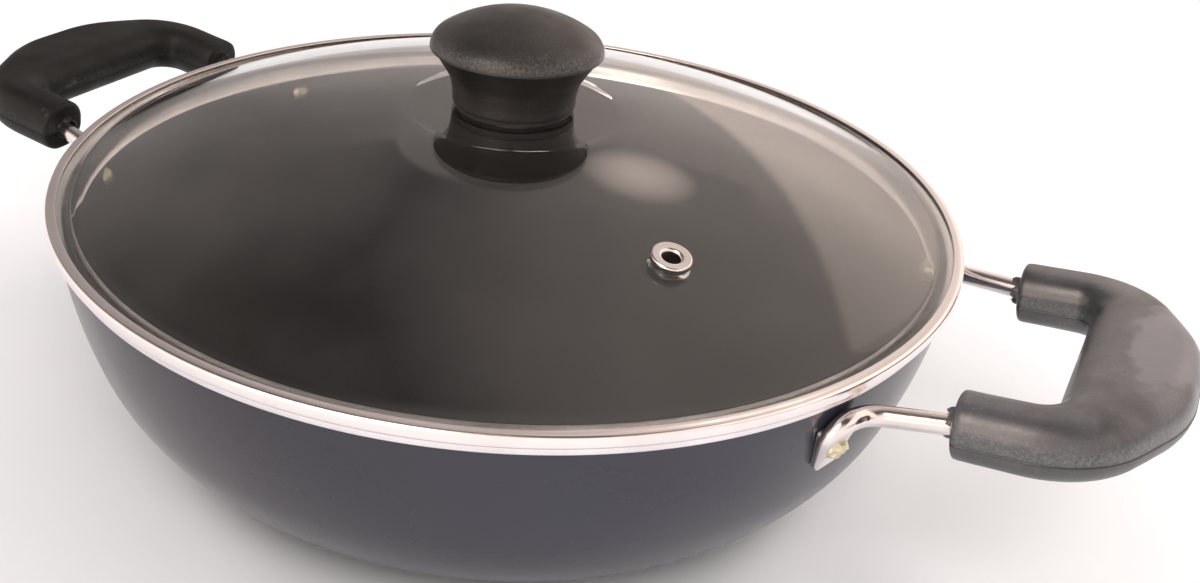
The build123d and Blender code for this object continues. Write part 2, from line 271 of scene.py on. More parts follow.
    def surface(self, **values: object) -> bpy.types.Node:
        """Adds the Principled shader and connects it.

        Args:
            values: socket names in lower case with underscores, and a number, a colour or a socket.

        Returns:
            The shader node.
        """
        shader = self.node("ShaderNodeBsdfPrincipled")
        for key, value in values.items():
            socket = shader.inputs[key.replace("_", " ").title().replace("Ior", "IOR")]
            if isinstance(value, bpy.types.NodeSocket):
                self.link(value, socket)
            elif isinstance(value, (tuple, list)) and len(value) == 3:
                socket.default_value = (*value, 1)
            else:
                socket.default_value = value
        self.link(shader.outputs[0], self.output.inputs[0])
        return shader

    def mix_out(self, share: bpy.types.NodeSocket, first: bpy.types.Node, second: bpy.types.Node) -> None:
        """Mixes two shaders by a factor into the material's output.

        Args:
            share: the factor socket.
            first: shader at 0.
            second: shader at 1.
        """
        mixer = self.node("ShaderNodeMixShader")
        for i, source in enumerate((share, first.outputs[0], second.outputs[0])):
            self.link(source, mixer.inputs[i])
        self.link(mixer.outputs[0], self.output.inputs[0])


@dataclass(frozen=True)
class CoatedMetal:
    """Dark non-stick or sprayed coating on aluminium."""

    name: str
    deep: Colour
    light: Colour
    gloss: Range
    coat: float = 0.0
    turned: float = 0.0
    shine: float = 0.5
    dust: float = 0.5
    dust_tone: Colour = (0.22, 0.2, 0.19)

    def build(self) -> bpy.types.Material:
        """Makes the material with painted side-to-side shading, a drifting tone, fine orange peel, turning
        marks and dust.

        Returns:
            The material.
        """
        graph = Graph(self.name)
        split = graph.node("ShaderNodeSeparateXYZ")
        graph.link(graph.place, split.inputs[0])
        # painted shading: the tone runs from deep on the -X side to light on the +X side, standing in for the
        # two sides catching different light and reflections
        across = graph.span(split.outputs["X"], -0.1, 0.07, 0.0, 0.75)
        drift = graph.span(graph.noise(14.0, 4.0), 0.3, 0.7, 0.0, 0.3)
        tone = graph.blend(graph.maths("ADD", across, drift), self.deep, self.light)
        speck = graph.span(graph.spots(330.0), 0.07, 0.035, 0.0, self.dust)
        rare = graph.span(graph.noise(60.0, 1.0), 0.56, 0.64, 0.0, 1.0)
        tone = graph.blend(graph.maths("MULTIPLY", speck, rare), tone, self.dust_tone)
        relief = graph.bump(graph.noise(900.0, 2.0), 0.00003, 0.5)
        if self.turned:
            relief = graph.bump(graph.rings(160.0, 0.3), 0.00004, self.turned, relief)
        graph.surface(
            base_color=tone,
            roughness=graph.span(graph.noise(22.0, 5.0, 0.6), 0.3, 0.75, *self.gloss),
            normal=relief,
            coat_weight=self.coat,
            coat_roughness=0.08,
            specular_ior_level=self.shine,
        )
        return graph.material

@dataclass(frozen=True)
class BareMetal:
    """Polished, brushed or hammered metal."""

    name: str
    tone: Colour
    dull: Colour
    gloss: Range
    grain: float = 900.0
    depth: float = 0.00003
    stretch: tuple[float, float, float] = (1.0, 1.0, 1.0)

    def build(self) -> bpy.types.Material:
        """Makes the material with smears, fine scratches and a slightly uneven gloss.

        Returns:
            The material.
        """
        graph = Graph(self.name)
        smear = graph.span(graph.noise(55.0, 4.0, 0.6), 0.3, 0.7, 0.0, 1.0)
        line = graph.noise(self.grain, 3.0, 0.6, graph.stretched(self.stretch))
        uneven = graph.maths("ADD", graph.maths("MULTIPLY", line, 0.5), smear)
        graph.surface(
            base_color=graph.blend(smear, self.tone, self.dull),
            metallic=1.0,
            roughness=graph.span(uneven, 0.3, 1.1, *self.gloss),
            normal=graph.bump(line, self.depth, 0.6),
        )
        return graph.material


@dataclass(frozen=True)
class Seam:
    """A mould's parting plane: a point on it, its tilt in degrees and how far the line lies below it. Mm."""

    reach: float
    height: float
    tilt: float = 0.0
    drop: float = 0.0


@dataclass(frozen=True)
class PaintedSheen:
    """A lighter patch painted on the grip's bar as a painted sheen: its middle and its half sizes in plan, in
    mm.
    """

    x: float
    y: float
    half_x: float
    half_y: float


@dataclass(frozen=True)
class Phenolic:
    """Black phenolic moulding: a fine pitted skin, chalky and scuffed greyish patches and a mould's seam,
    with painted light: a painted sheen patch, a painted highlight band above the seam and a painted shade
    line along it.
    """

    name: str
    deep: Colour
    worn: Colour
    gloss: Range
    shine: float
    chalk: float
    seam: Seam
    painted_sheen: PaintedSheen | None = None
    pits: float = 0.00009
    chalk_tone: Colour = (0.2, 0.2, 0.19)
    scuff_tone: Colour = (0.16, 0.16, 0.155)
    painted_sheen_tone: Colour = (0.15, 0.138, 0.148)
    painted_highlight_tone: Colour = (0.2, 0.205, 0.195)
    painted_shade_line_tone: Colour = (0.006, 0.006, 0.006)

    def painted_sheen_share(self, graph: Graph) -> bpy.types.NodeSocket:
        """How much of the painted sheen patch covers a point.

        Args:
            graph: the material's graph.

        Returns:
            A socket from 0 to 1, ragged at its border.
        """
        spot = self.painted_sheen
        mapping = graph.node("ShaderNodeMapping", vector_type="POINT")
        mapping.inputs["Location"].default_value = (-spot.x / spot.half_x, -spot.y / spot.half_y, 0.0)
        mapping.inputs["Scale"].default_value = (1 / (spot.half_x * MM), 1 / (spot.half_y * MM), 0.0)
        graph.link(graph.place, mapping.inputs["Vector"])
        length = graph.node("ShaderNodeVectorMath", operation="LENGTH")
        graph.link(mapping.outputs[0], length.inputs[0])
        ragged = graph.span(graph.noise(110.0, 4.0), 0.25, 0.75, -0.3, 0.3)
        return graph.span(graph.maths("ADD", length.outputs["Value"], ragged), 1.08, 0.88, 0.0, 1.0)

    def seam_height(self, graph: Graph) -> bpy.types.NodeSocket:
        """Height above the mould's parting line, in metres, a little uneven.

        Args:
            graph: the material's graph.

        Returns:
            The height socket.
        """
        seam, angle = self.seam, math.radians(self.seam.tilt)
        split = graph.node("ShaderNodeSeparateXYZ")
        graph.link(graph.place, split.inputs[0])
        run = graph.maths("MULTIPLY", graph.maths("ABSOLUTE", split.outputs["X"], 0.0), -math.sin(angle))
        rise = graph.maths("MULTIPLY", split.outputs["Z"], math.cos(angle))
        zero = (seam.reach * math.sin(angle) - seam.height * math.cos(angle) + seam.drop) * MM
        uneven = graph.span(graph.noise(500.0, 3.0), 0.2, 0.8, -0.00015, 0.00015)
        return graph.maths("ADD", run, rise, zero, uneven)

    def build(self) -> bpy.types.Material:
        """Makes the material.

        Returns:
            The material.
        """
        graph = Graph(self.name)
        bloom = graph.span(graph.noise(48.0, 5.0, 0.62), 0.36, 0.72, 0.0, 1.0)
        tone = graph.blend(bloom, self.deep, self.worn)
        grain = graph.noise(1500.0, 2.0, 0.6)
        chalk = graph.span(grain, 0.58, 0.75, 0.0, self.chalk)
        tone = graph.blend(graph.maths("MULTIPLY", chalk, bloom), tone, self.chalk_tone)
        scuff = graph.noise(160.0, 4.0, 0.65, graph.stretched((1.0, 0.35, 1.0), (0, 0, 0.5)))
        tone = graph.blend(graph.span(scuff, 0.69, 0.78, 0.0, 0.5), tone, self.scuff_tone)
        # painted sheen: a lighter patch on the top of the grip's bar
        if self.painted_sheen:
            tone = graph.blend(graph.maths("MULTIPLY", self.painted_sheen_share(graph), 0.75), tone, self.painted_sheen_tone)
        above = self.seam_height(graph)
        # painted highlight: a ragged lighter band with chalky grain just above the seam, which on the knob is
        # its brim crease
        starts = graph.span(above, 0.0002, 0.0009, 0.0, 1.0)
        ends = graph.span(above, 0.0055, 0.002, 0.0, 1.0)
        torn = graph.span(graph.noise(1500.0, 5.0, 0.7), 0.4, 0.66, 0.0, self.chalk)
        tone = graph.blend(graph.maths("MULTIPLY", starts, ends, torn), tone, self.painted_highlight_tone)
        # painted shade: a near-black line along the seam, which on the knob is its brim crease
        line = graph.span(graph.maths("ABSOLUTE", above, 0.0), 0.0004, 0.00015, 0.0, 0.85)
        tone = graph.blend(line, tone, self.painted_shade_line_tone)
        gloss = graph.span(graph.noise(90.0, 4.0), 0.3, 0.7, *self.gloss)
        skin = graph.bump(grain, self.pits, 0.45)
        skin = graph.bump(graph.noise(230.0, 3.0), 0.00012, 0.35, skin)
        graph.surface(base_color=tone, roughness=gloss, normal=skin, specular_ior_level=self.shine)
        return graph.material

@dataclass(frozen=True)
class ClearGlass:
    """Tempered soda glass with a faint green cast and light smears."""

    name: str = "lid_glass_clear"
    tint: Colour = (0.93, 0.955, 0.945)
    shadow_tint: Colour = (0.86, 0.88, 0.87)

    def build(self) -> bpy.types.Material:
        """Makes glass that lets lamps light what is below it.

        Returns:
            The material.
        """
        graph = Graph(self.name)
        smear = graph.span(graph.noise(26.0, 5.0, 0.6), 0.45, 0.8, 0.0, 0.05)
        shader = graph.surface(
            base_color=self.tint,
            transmission_weight=1.0,
            roughness=smear,
            ior=1.5,
            normal=graph.bump(graph.noise(9.0, 1.0), 0.00012, 0.35),
        )
        clear = graph.node("ShaderNodeBsdfTransparent")
        clear.inputs[0].default_value = (*self.shadow_tint, 1)
        path = graph.node("ShaderNodeLightPath")
        graph.mix_out(path.outputs["Is Shadow Ray"], shader, clear)
        return graph.material


@dataclass(frozen=True)
class Elastic:
    """Rubber or silicone."""

    name: str
    tone: Colour
    dust: Colour
    gloss: float = 0.6

    def build(self) -> bpy.types.Material:
        """Makes the material with dusty drift and a fine skin.

        Returns:
            The material.
        """
        graph = Graph(self.name)
        drift = graph.span(graph.noise(130.0, 4.0), 0.35, 0.75, 0.0, 1.0)
        rough = graph.span(graph.noise(300.0, 2.0), 0.3, 0.7, self.gloss - 0.08, self.gloss + 0.1)
        graph.surface(
            base_color=graph.blend(drift, self.tone, self.dust),
            roughness=rough,
            normal=graph.bump(graph.noise(1400.0, 2.0), 0.00004, 0.4),
        )
        return graph.material


class Finishes:
    """Every finish of the object, each made once."""

    def __init__(self) -> None:
        """Builds the materials."""
        # The coatings' deep and light tones carry painted shading: deep is the tone on the -X side and light
        # the tone on the +X side.
        self.outside = CoatedMetal(
            "coating_outside",
            (0.028, 0.019, 0.019),
            (0.034, 0.034, 0.05),
            (0.2, 0.32),
            coat=0.15,
            shine=0.35,
            dust=0.25,
        ).build()
        self.inside = CoatedMetal(
            "coating_inside", (0.03, 0.026, 0.026), (0.022, 0.019, 0.019), (0.38, 0.52), turned=0.5, shine=0.2
        ).build()
        self.lip = BareMetal(
            "turned_lip", (0.86, 0.83, 0.84), (0.74, 0.7, 0.72), (0.16, 0.3), 900.0, 0.00002, (0.2, 0.2, 6.0)
        ).build()
        self.base = CoatedMetal(
            "coating_base", (0.03, 0.027, 0.027), (0.024, 0.024, 0.03), (0.34, 0.5), turned=1.0, shine=0.3
        ).build()
        self.ring = BareMetal(
            "ring_stainless",
            (0.9, 0.84, 0.83),
            (0.82, 0.76, 0.75),
            (0.12, 0.26),
            800.0,
            0.00002,
            (0.25, 0.25, 5.0),
        ).build()
        self.wire = BareMetal(
            "wire_plated", (0.84, 0.8, 0.8), (0.68, 0.62, 0.6), (0.06, 0.2), 500.0, stretch=(0.3, 4.0, 4.0)
        ).build()
        self.rivet = BareMetal(
            "rivet_aluminium", (0.9, 0.83, 0.62), (0.4, 0.36, 0.25), (0.2, 0.4), 700.0, 0.0007
        ).build()
        self.eyelet = BareMetal(
            "eyelet_stainless", (0.82, 0.78, 0.76), (0.7, 0.66, 0.64), (0.12, 0.24)
        ).build()
        self.zinc = BareMetal(
            "screw_zinc", (0.66, 0.67, 0.69), (0.52, 0.53, 0.55), (0.22, 0.4), depth=0.00004
        ).build()
        self.brass = BareMetal("insert_brass", (0.72, 0.56, 0.28), (0.6, 0.45, 0.22), (0.25, 0.4)).build()
        seam = Seam(118.0, 60.2, 6.7, 1.3)
        # One phenolic in two copies with painted light: the right grip's is painted lighter, as lit, with
        # more chalk and sheen, and the left grip's is painted darker, as shaded.
        painted_lit_grip = Phenolic(
            "grip_phenolic_rubbed",
            (0.022, 0.022, 0.023),
            (0.094, 0.09, 0.096),
            (0.26, 0.44),
            0.9,
            0.6,
            seam,
            PaintedSheen(167.0, 6.0, 7.5, 20.0),
        )
        dark = Phenolic(
            "grip_phenolic_dark", (0.007, 0.0068, 0.0065), (0.016, 0.015, 0.014), (0.4, 0.6), 0.2, 0.12, seam
        )
        self.grip = {Side.RIGHT: painted_lit_grip.build(), Side.LEFT: dark.build()}
        # The crease puts the knob's painted shade line and painted highlight band at its brim crease.
        crease = Seam(0.0, 107.2)
        self.knob = Phenolic(
            "knob_phenolic", (0.012, 0.011, 0.01), (0.033, 0.029, 0.025), (0.3, 0.5), 0.5, 0.3, crease
        ).build()
        self.glass = ClearGlass().build()
        self.rubber = Elastic("gasket_rubber", (0.012, 0.012, 0.012), (0.03, 0.029, 0.028)).build()
        self.silicone = Elastic("seal_silicone", (0.05, 0.046, 0.045), (0.1, 0.092, 0.09), 0.45).build()


# ---------------------------------------------------------------- mesh helpers


def arc(
    centre: tuple[float, float], radius: float, start: float, stop: float, steps: int, slot: int = 0
) -> Profile:
    """Points on an arc of a lathe profile.

    Args:
        centre: radius and height of the arc's centre, in mm.
        radius: the arc's radius, in mm.
        start: first angle in degrees, 0 outwards and 90 up.
        stop: last angle in degrees.
        steps: number of pieces.
        slot: the material slot of the faces that start here.

    Returns:
        The profile's points.
    """
    points = []
    for i in range(steps + 1):
        angle = math.radians(start + (stop - start) * i / steps)
        points.append((centre[0] + radius * math.cos(angle), centre[1] + radius * math.sin(angle), slot))
    return points


def finish_mesh(
    name: str,
    shape: bmesh.types.BMesh,
    materials: Sequence[bpy.types.Material],
    sharp: float = 40.0,
) -> bpy.types.Object:
    """Turns a bmesh into an object at the origin with smooth shading.

    Args:
        name: the piece's name.
        shape: the bmesh, in metres. It is freed.
        materials: the material slots.
        sharp: edges over this angle, in degrees, stay sharp.

    Returns:
        The new object.
    """
    bmesh.ops.remove_doubles(shape, verts=shape.verts, dist=1e-7)
    bmesh.ops.recalc_face_normals(shape, faces=shape.faces)
    mesh = bpy.data.meshes.new(name)
    shape.to_mesh(mesh)
    shape.free()
    for material in materials:
        mesh.materials.append(material)
    mesh.shade_smooth()
    mesh.set_sharp_from_angle(angle=math.radians(sharp))
    made = bpy.data.objects.new(name, mesh)
    bpy.context.scene.collection.objects.link(made)
    return made


def lathe(
    name: str,
    profile: Profile,
    materials: Sequence[bpy.types.Material],
    segments: int,
    place: Matrix | None = None,
    sharp: float = 40.0,
) -> bpy.types.Object:
    """Revolves a closed profile round Z.

    Args:
        name: the piece's name.
        profile: radius, height in mm and material slot, going round the section once. Points on the
            axis make poles.
        materials: the material slots.
        segments: number of steps round.
        place: where the piece sits, in metres.
        sharp: edges over this angle stay sharp.

    Returns:
        The new object.
    """
    shape = bmesh.new()
    rows = []
    for radius, height, _ in profile:
        if radius < 1e-6:
            rows.append([shape.verts.new((0, 0, height * MM))] * segments)
            continue
        row = []
        for j in range(segments):
            angle = 2 * math.pi * j / segments
            spot = (radius * MM * math.cos(angle), radius * MM * math.sin(angle), height * MM)
            row.append(shape.verts.new(spot))
        rows.append(row)
    for i in range(len(profile)):
        first, second = rows[i], rows[(i + 1) % len(profile)]
        if first[0] is first[1] and second[0] is second[1]:
            continue
        for j in range(segments):
            k = (j + 1) % segments
            corners = list(dict.fromkeys((first[j], first[k], second[k], second[j])))
            face = shape.faces.new(corners)
            face.material_index = profile[i][2]
    if place is not None:
        shape.transform(place)
    return finish_mesh(name, shape, materials, sharp)


def loft(
    name: str,
    sections: Sequence[Sequence[Vector]],
    materials: Sequence[bpy.types.Material],
    sharp: float = 40.0,
) -> bpy.types.Object:
    """Skins closed sections of equal point counts and closes both ends.

    Args:
        name: the piece's name.
        sections: rings of points, in metres.
        materials: the material slots.
        sharp: edges over this angle stay sharp.

    Returns:
        The new object.
    """
    shape = bmesh.new()
    rows = [[shape.verts.new(point) for point in ring] for ring in sections]
    count = len(rows[0])
    for first, second in zip(rows, rows[1:]):
        for j in range(count):
            k = (j + 1) % count
            shape.faces.new((first[j], first[k], second[k], second[j]))
    for row, ring in ((rows[0], sections[0]), (rows[-1], sections[-1])):
        middle = shape.verts.new(sum(ring, Vector()) / count)
        for j in range(count):
            shape.faces.new((row[j], row[(j + 1) % count], middle))
    return finish_mesh(name, shape, materials, sharp)


def section(
    centre: Vector,
    across: Vector,
    up: Vector,
    half_width: float,
    half_height: float,
    power: float = 2.0,
    steps: int = 32,
) -> list[Vector]:
    """A rounded-rectangle ring.

    Args:
        centre: its middle, in metres.
        across: unit vector along its width.
        up: unit vector along its height.
        half_width: half the width, in metres.
        half_height: half the height, in metres.
        power: 2 is an ellipse, and more is squarer.
        steps: number of points.

    Returns:
        The ring's points.
    """
    ring = []
    for j in range(steps):
        angle = 2 * math.pi * j / steps
        c, s = math.cos(angle), math.sin(angle)
        x = math.copysign(abs(c) ** (2 / power), c) * half_width
        y = math.copysign(abs(s) ** (2 / power), s) * half_height
        ring.append(centre + across * x + up * y)
    return ring


def bend(corners: Sequence[Vector], radii: Sequence[float], steps: int = 12) -> list[Vector]:
    """A path through corners with each inner corner rounded.

    Args:
        corners: the corner points.
        radii: a radius for each inner corner.
        steps: pieces for each round.

    Returns:
        The path's points.
    """
    path = [corners[0]]
    for before, here, after, radius in zip(corners, corners[1:], corners[2:], radii):
        back, on = (before - here).normalized(), (after - here).normalized()
        half = back.angle(on) / 2
        centre = here + (back + on).normalized() * radius / math.sin(half)
        first = here + back * radius / math.tan(half) - centre
        last = here + on * radius / math.tan(half) - centre
        axis, sweep = first.cross(last).normalized(), first.angle(last)
        path += [centre + Matrix.Rotation(sweep * i / steps, 3, axis) @ first for i in range(steps + 1)]
    return [*path, corners[-1]]


def walk(path: Sequence[Vector], share: float) -> Vector:
    """The point at a share of a path's length.

    Args:
        path: the path's points.
        share: 0 at its start and 1 at its end.

    Returns:
        The point.
    """
    lengths = [(b - a).length for a, b in zip(path, path[1:])]
    left = share * sum(lengths)
    for a, b, length in zip(path, path[1:], lengths):
        if left <= length:
            return a.lerp(b, left / max(length, 1e-9))
        left -= length
    return path[-1].copy()


def share_at(path: Sequence[Vector], test: Callable[[Vector], bool]) -> float:
    """The share of a path's length at which a test first holds.

    Args:
        path: the path's points.
        test: what a point has to meet.

    Returns:
        The share, 1 if no point meets it.
    """
    for i in range(401):
        if test(walk(path, i / 400)):
            return i / 400
    return 1.0


def plate(
    name: str,
    rounds: Sequence[tuple[float, float, float]],
    low: float,
    high: float,
    bevel: float,
    place: Matrix,
    materials: Sequence[bpy.types.Material],
) -> bpy.types.Object:
    """A flat plate whose outline wraps a few circles.

    Args:
        name: the piece's name.
        rounds: circles as x, y and radius, in mm.
        low: lower face, in mm.
        high: upper face, in mm.
        bevel: how far the upper edge is broken, in mm.
        place: the plate's frame, in metres.
        materials: the material slots.

    Returns:
        The new object.
    """
    cloud = []
    for x, y, radius in rounds:
        for j in range(28):
            angle = 2 * math.pi * j / 28
            cloud.append((x + radius * math.cos(angle), y + radius * math.sin(angle)))
    cloud.sort()
    hull: list[tuple[float, float]] = []
    for way in (cloud, cloud[::-1]):
        part: list[tuple[float, float]] = []
        for x, y in way:
            while len(part) > 1:
                (ax, ay), (bx, by) = part[-2:]
                if (bx - ax) * (y - ay) - (by - ay) * (x - ax) > 1e-9:
                    break
                part.pop()
            part.append((x, y))
        hull += part[:-1]
    middle = Vector((sum(x for x, _ in hull), sum(y for _, y in hull), 0)) / len(hull)
    rings = []
    for height, inset in ((low, bevel), (low, 0), (high - bevel, 0), (high, bevel)):
        ring = []
        for x, y in hull:
            spot = Vector((x, y, 0))
            spot += (middle - spot).normalized() * inset
            ring.append(place @ (Vector((spot.x, spot.y, height)) * MM))
        rings.append(ring)
    return loft(name, rings, materials, 30.0)


def merge(name: str, pieces: Iterable[bpy.types.Object]) -> bpy.types.Object:
    """Joins objects at the origin into one, keeping their materials and sharp edges.

    Args:
        name: the new piece's name.
        pieces: the objects, which are removed.

    Returns:
        The joined object.
    """
    pieces = list(pieces)
    first = pieces[0]
    with bpy.context.temp_override(active_object=first, selected_editable_objects=pieces, object=first):
        bpy.ops.object.join()
    first.name = name
    first.data.name = name
    return first


def cut(piece: bpy.types.Object, tool: bpy.types.Object) -> None:
    """Takes a tool's shape out of a piece and removes the tool.

    Args:
        piece: the object that is cut.
        tool: the closed object that cuts.
    """
    modifier = piece.modifiers.new("cut", "BOOLEAN")
    modifier.object = tool
    modifier.operation = "DIFFERENCE"
    modifier.solver = "EXACT"
    graph = bpy.context.evaluated_depsgraph_get()
    mesh = bpy.data.meshes.new_from_object(piece.evaluated_get(graph))
    piece.modifiers.remove(modifier)
    piece.data = mesh
    bpy.data.objects.remove(tool)


def dress(node: str, material: bpy.types.Material) -> None:
    """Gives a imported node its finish.

    Args:
        node: the node's name.
        material: the finish.
    """
    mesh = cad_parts[node].data
    mesh.materials.clear()
    mesh.materials.append(material)


def settle(
    piece: bpy.types.Object, body: str, nodes: Sequence[str] = ()
) -> bpy.types.Object:
    """Puts a finished piece on its body and the nodes it stands for.

    Args:
        piece: the finished piece.
        body: the body it rides on.
        nodes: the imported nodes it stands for.

    Returns:
        The same piece.
    """
    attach(piece, body)
    if nodes:
        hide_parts(*nodes)
    LOG.info("%s: %d faces on %s", piece.name, len(piece.data.polygons), body)
    return piece


# ---------------------------------------------------------------- geometry nodes


class Scatter:
    """Places copies of one shape on given points, each square to its own direction."""

    def __init__(self, name: str, shape: bpy.types.Object, material: bpy.types.Material) -> None:
        """Keeps what is placed.

        Args:
            name: the new piece's name.
            shape: the object that is copied, built round Z.
            material: its finish.
        """
        self.name = name
        self.shape = shape
        self.material = material

    def tree(self) -> tuple[bpy.types.NodeTree, dict[str, str]]:
        """Builds the tree.

        Returns:
            The tree, and its inputs' identifiers by name.
        """
        tree = bpy.data.node_groups.new(self.name + "_tree", "GeometryNodeTree")
        names = {}
        for label, kind, value in (
            ("Geometry", "NodeSocketGeometry", None),
            ("Head", "NodeSocketObject", None),
            ("Size", "NodeSocketFloat", 1.0),
            ("Turn", "NodeSocketFloat", 0.0),
            ("Seed", "NodeSocketInt", 7),
        ):
            socket = tree.interface.new_socket(label, in_out="INPUT", socket_type=kind)
            if value is not None:
                socket.default_value = value
            names[label] = socket.identifier
        tree.interface.new_socket("Geometry", in_out="OUTPUT", socket_type="NodeSocketGeometry")
        made = {
            name: tree.nodes.new(kind)
            for name, kind in (
                ("source", "NodeGroupInput"),
                ("result", "NodeGroupOutput"),
                ("facing", "GeometryNodeInputNamedAttribute"),
                ("align", "FunctionNodeAlignRotationToVector"),
                ("info", "GeometryNodeObjectInfo"),
                ("spin", "FunctionNodeRandomValue"),
                ("amount", "ShaderNodeMath"),
                ("combine", "ShaderNodeCombineXYZ"),
                ("own", "FunctionNodeEulerToRotation"),
                ("both", "FunctionNodeRotateRotation"),
                ("copy", "GeometryNodeInstanceOnPoints"),
                ("real", "GeometryNodeRealizeInstances"),
                ("finish", "GeometryNodeSetMaterial"),
            )
        }
        made["facing"].data_type = "FLOAT_VECTOR"
        made["facing"].inputs["Name"].default_value = "facing"
        made["align"].axis = "Z"
        made["spin"].data_type = "FLOAT"
        made["spin"].inputs[2].default_value = -1.0
        made["spin"].inputs[3].default_value = 1.0
        made["amount"].operation = "MULTIPLY"
        made["both"].rotation_space = "LOCAL"
        made["finish"].inputs["Material"].default_value = self.material
        for start, out, stop, into in (
            ("source", "Geometry", "copy", "Points"),
            ("source", "Head", "info", "Object"),
            ("info", "Geometry", "copy", "Instance"),
            ("facing", "Attribute", "align", "Vector"),
            ("source", "Seed", "spin", "Seed"),
            ("spin", 1, "amount", 0),
            ("source", "Turn", "amount", 1),
            ("amount", 0, "combine", "Z"),
            ("combine", 0, "own", 0),
            ("align", 0, "both", 0),
            ("own", 0, "both", 1),
            ("both", 0, "copy", "Rotation"),
            ("source", "Size", "copy", "Scale"),
            ("copy", 0, "real", 0),
            ("real", 0, "finish", "Geometry"),
            ("finish", 0, "result", 0),
        ):
            tree.links.new(made[start].outputs[out], made[stop].inputs[into])
        return tree, names

    def build(self, spots: Sequence[tuple[Vector, Vector]], turn: float, seed: int) -> bpy.types.Object:
        """Places the copies and turns them into one plain mesh.

        Args:
            spots: position and direction of each, in metres.
            turn: largest turn about its own axis, in radians.
            seed: picks the turns.

        Returns:
            The new object. The copied shape is removed.
        """
        mesh = bpy.data.meshes.new(self.name + "_points")
        mesh.from_pydata([spot for spot, _ in spots], [], [])
        facing = mesh.attributes.new("facing", "FLOAT_VECTOR", "POINT")
        for i, (_, direction) in enumerate(spots):
            facing.data[i].vector = direction
        holder = bpy.data.objects.new(self.name + "_holder", mesh)
        bpy.context.scene.collection.objects.link(holder)
        modifier = holder.modifiers.new("scatter", "NODES")
        tree, names = self.tree()
        modifier.node_group = tree
        modifier[names["Head"]] = self.shape
        modifier[names["Size"]] = 1.0
        modifier[names["Turn"]] = turn
        modifier[names["Seed"]] = seed
        graph = bpy.context.evaluated_depsgraph_get()
        plain = bpy.data.meshes.new_from_object(holder.evaluated_get(graph))
        plain.name = self.name
        holder.modifiers.remove(modifier)
        made = bpy.data.objects.new(self.name, plain)
        bpy.context.scene.collection.objects.link(made)
        bpy.data.objects.remove(holder)
        bpy.data.objects.remove(self.shape)
        return made


# ---------------------------------------------------------------- the pan


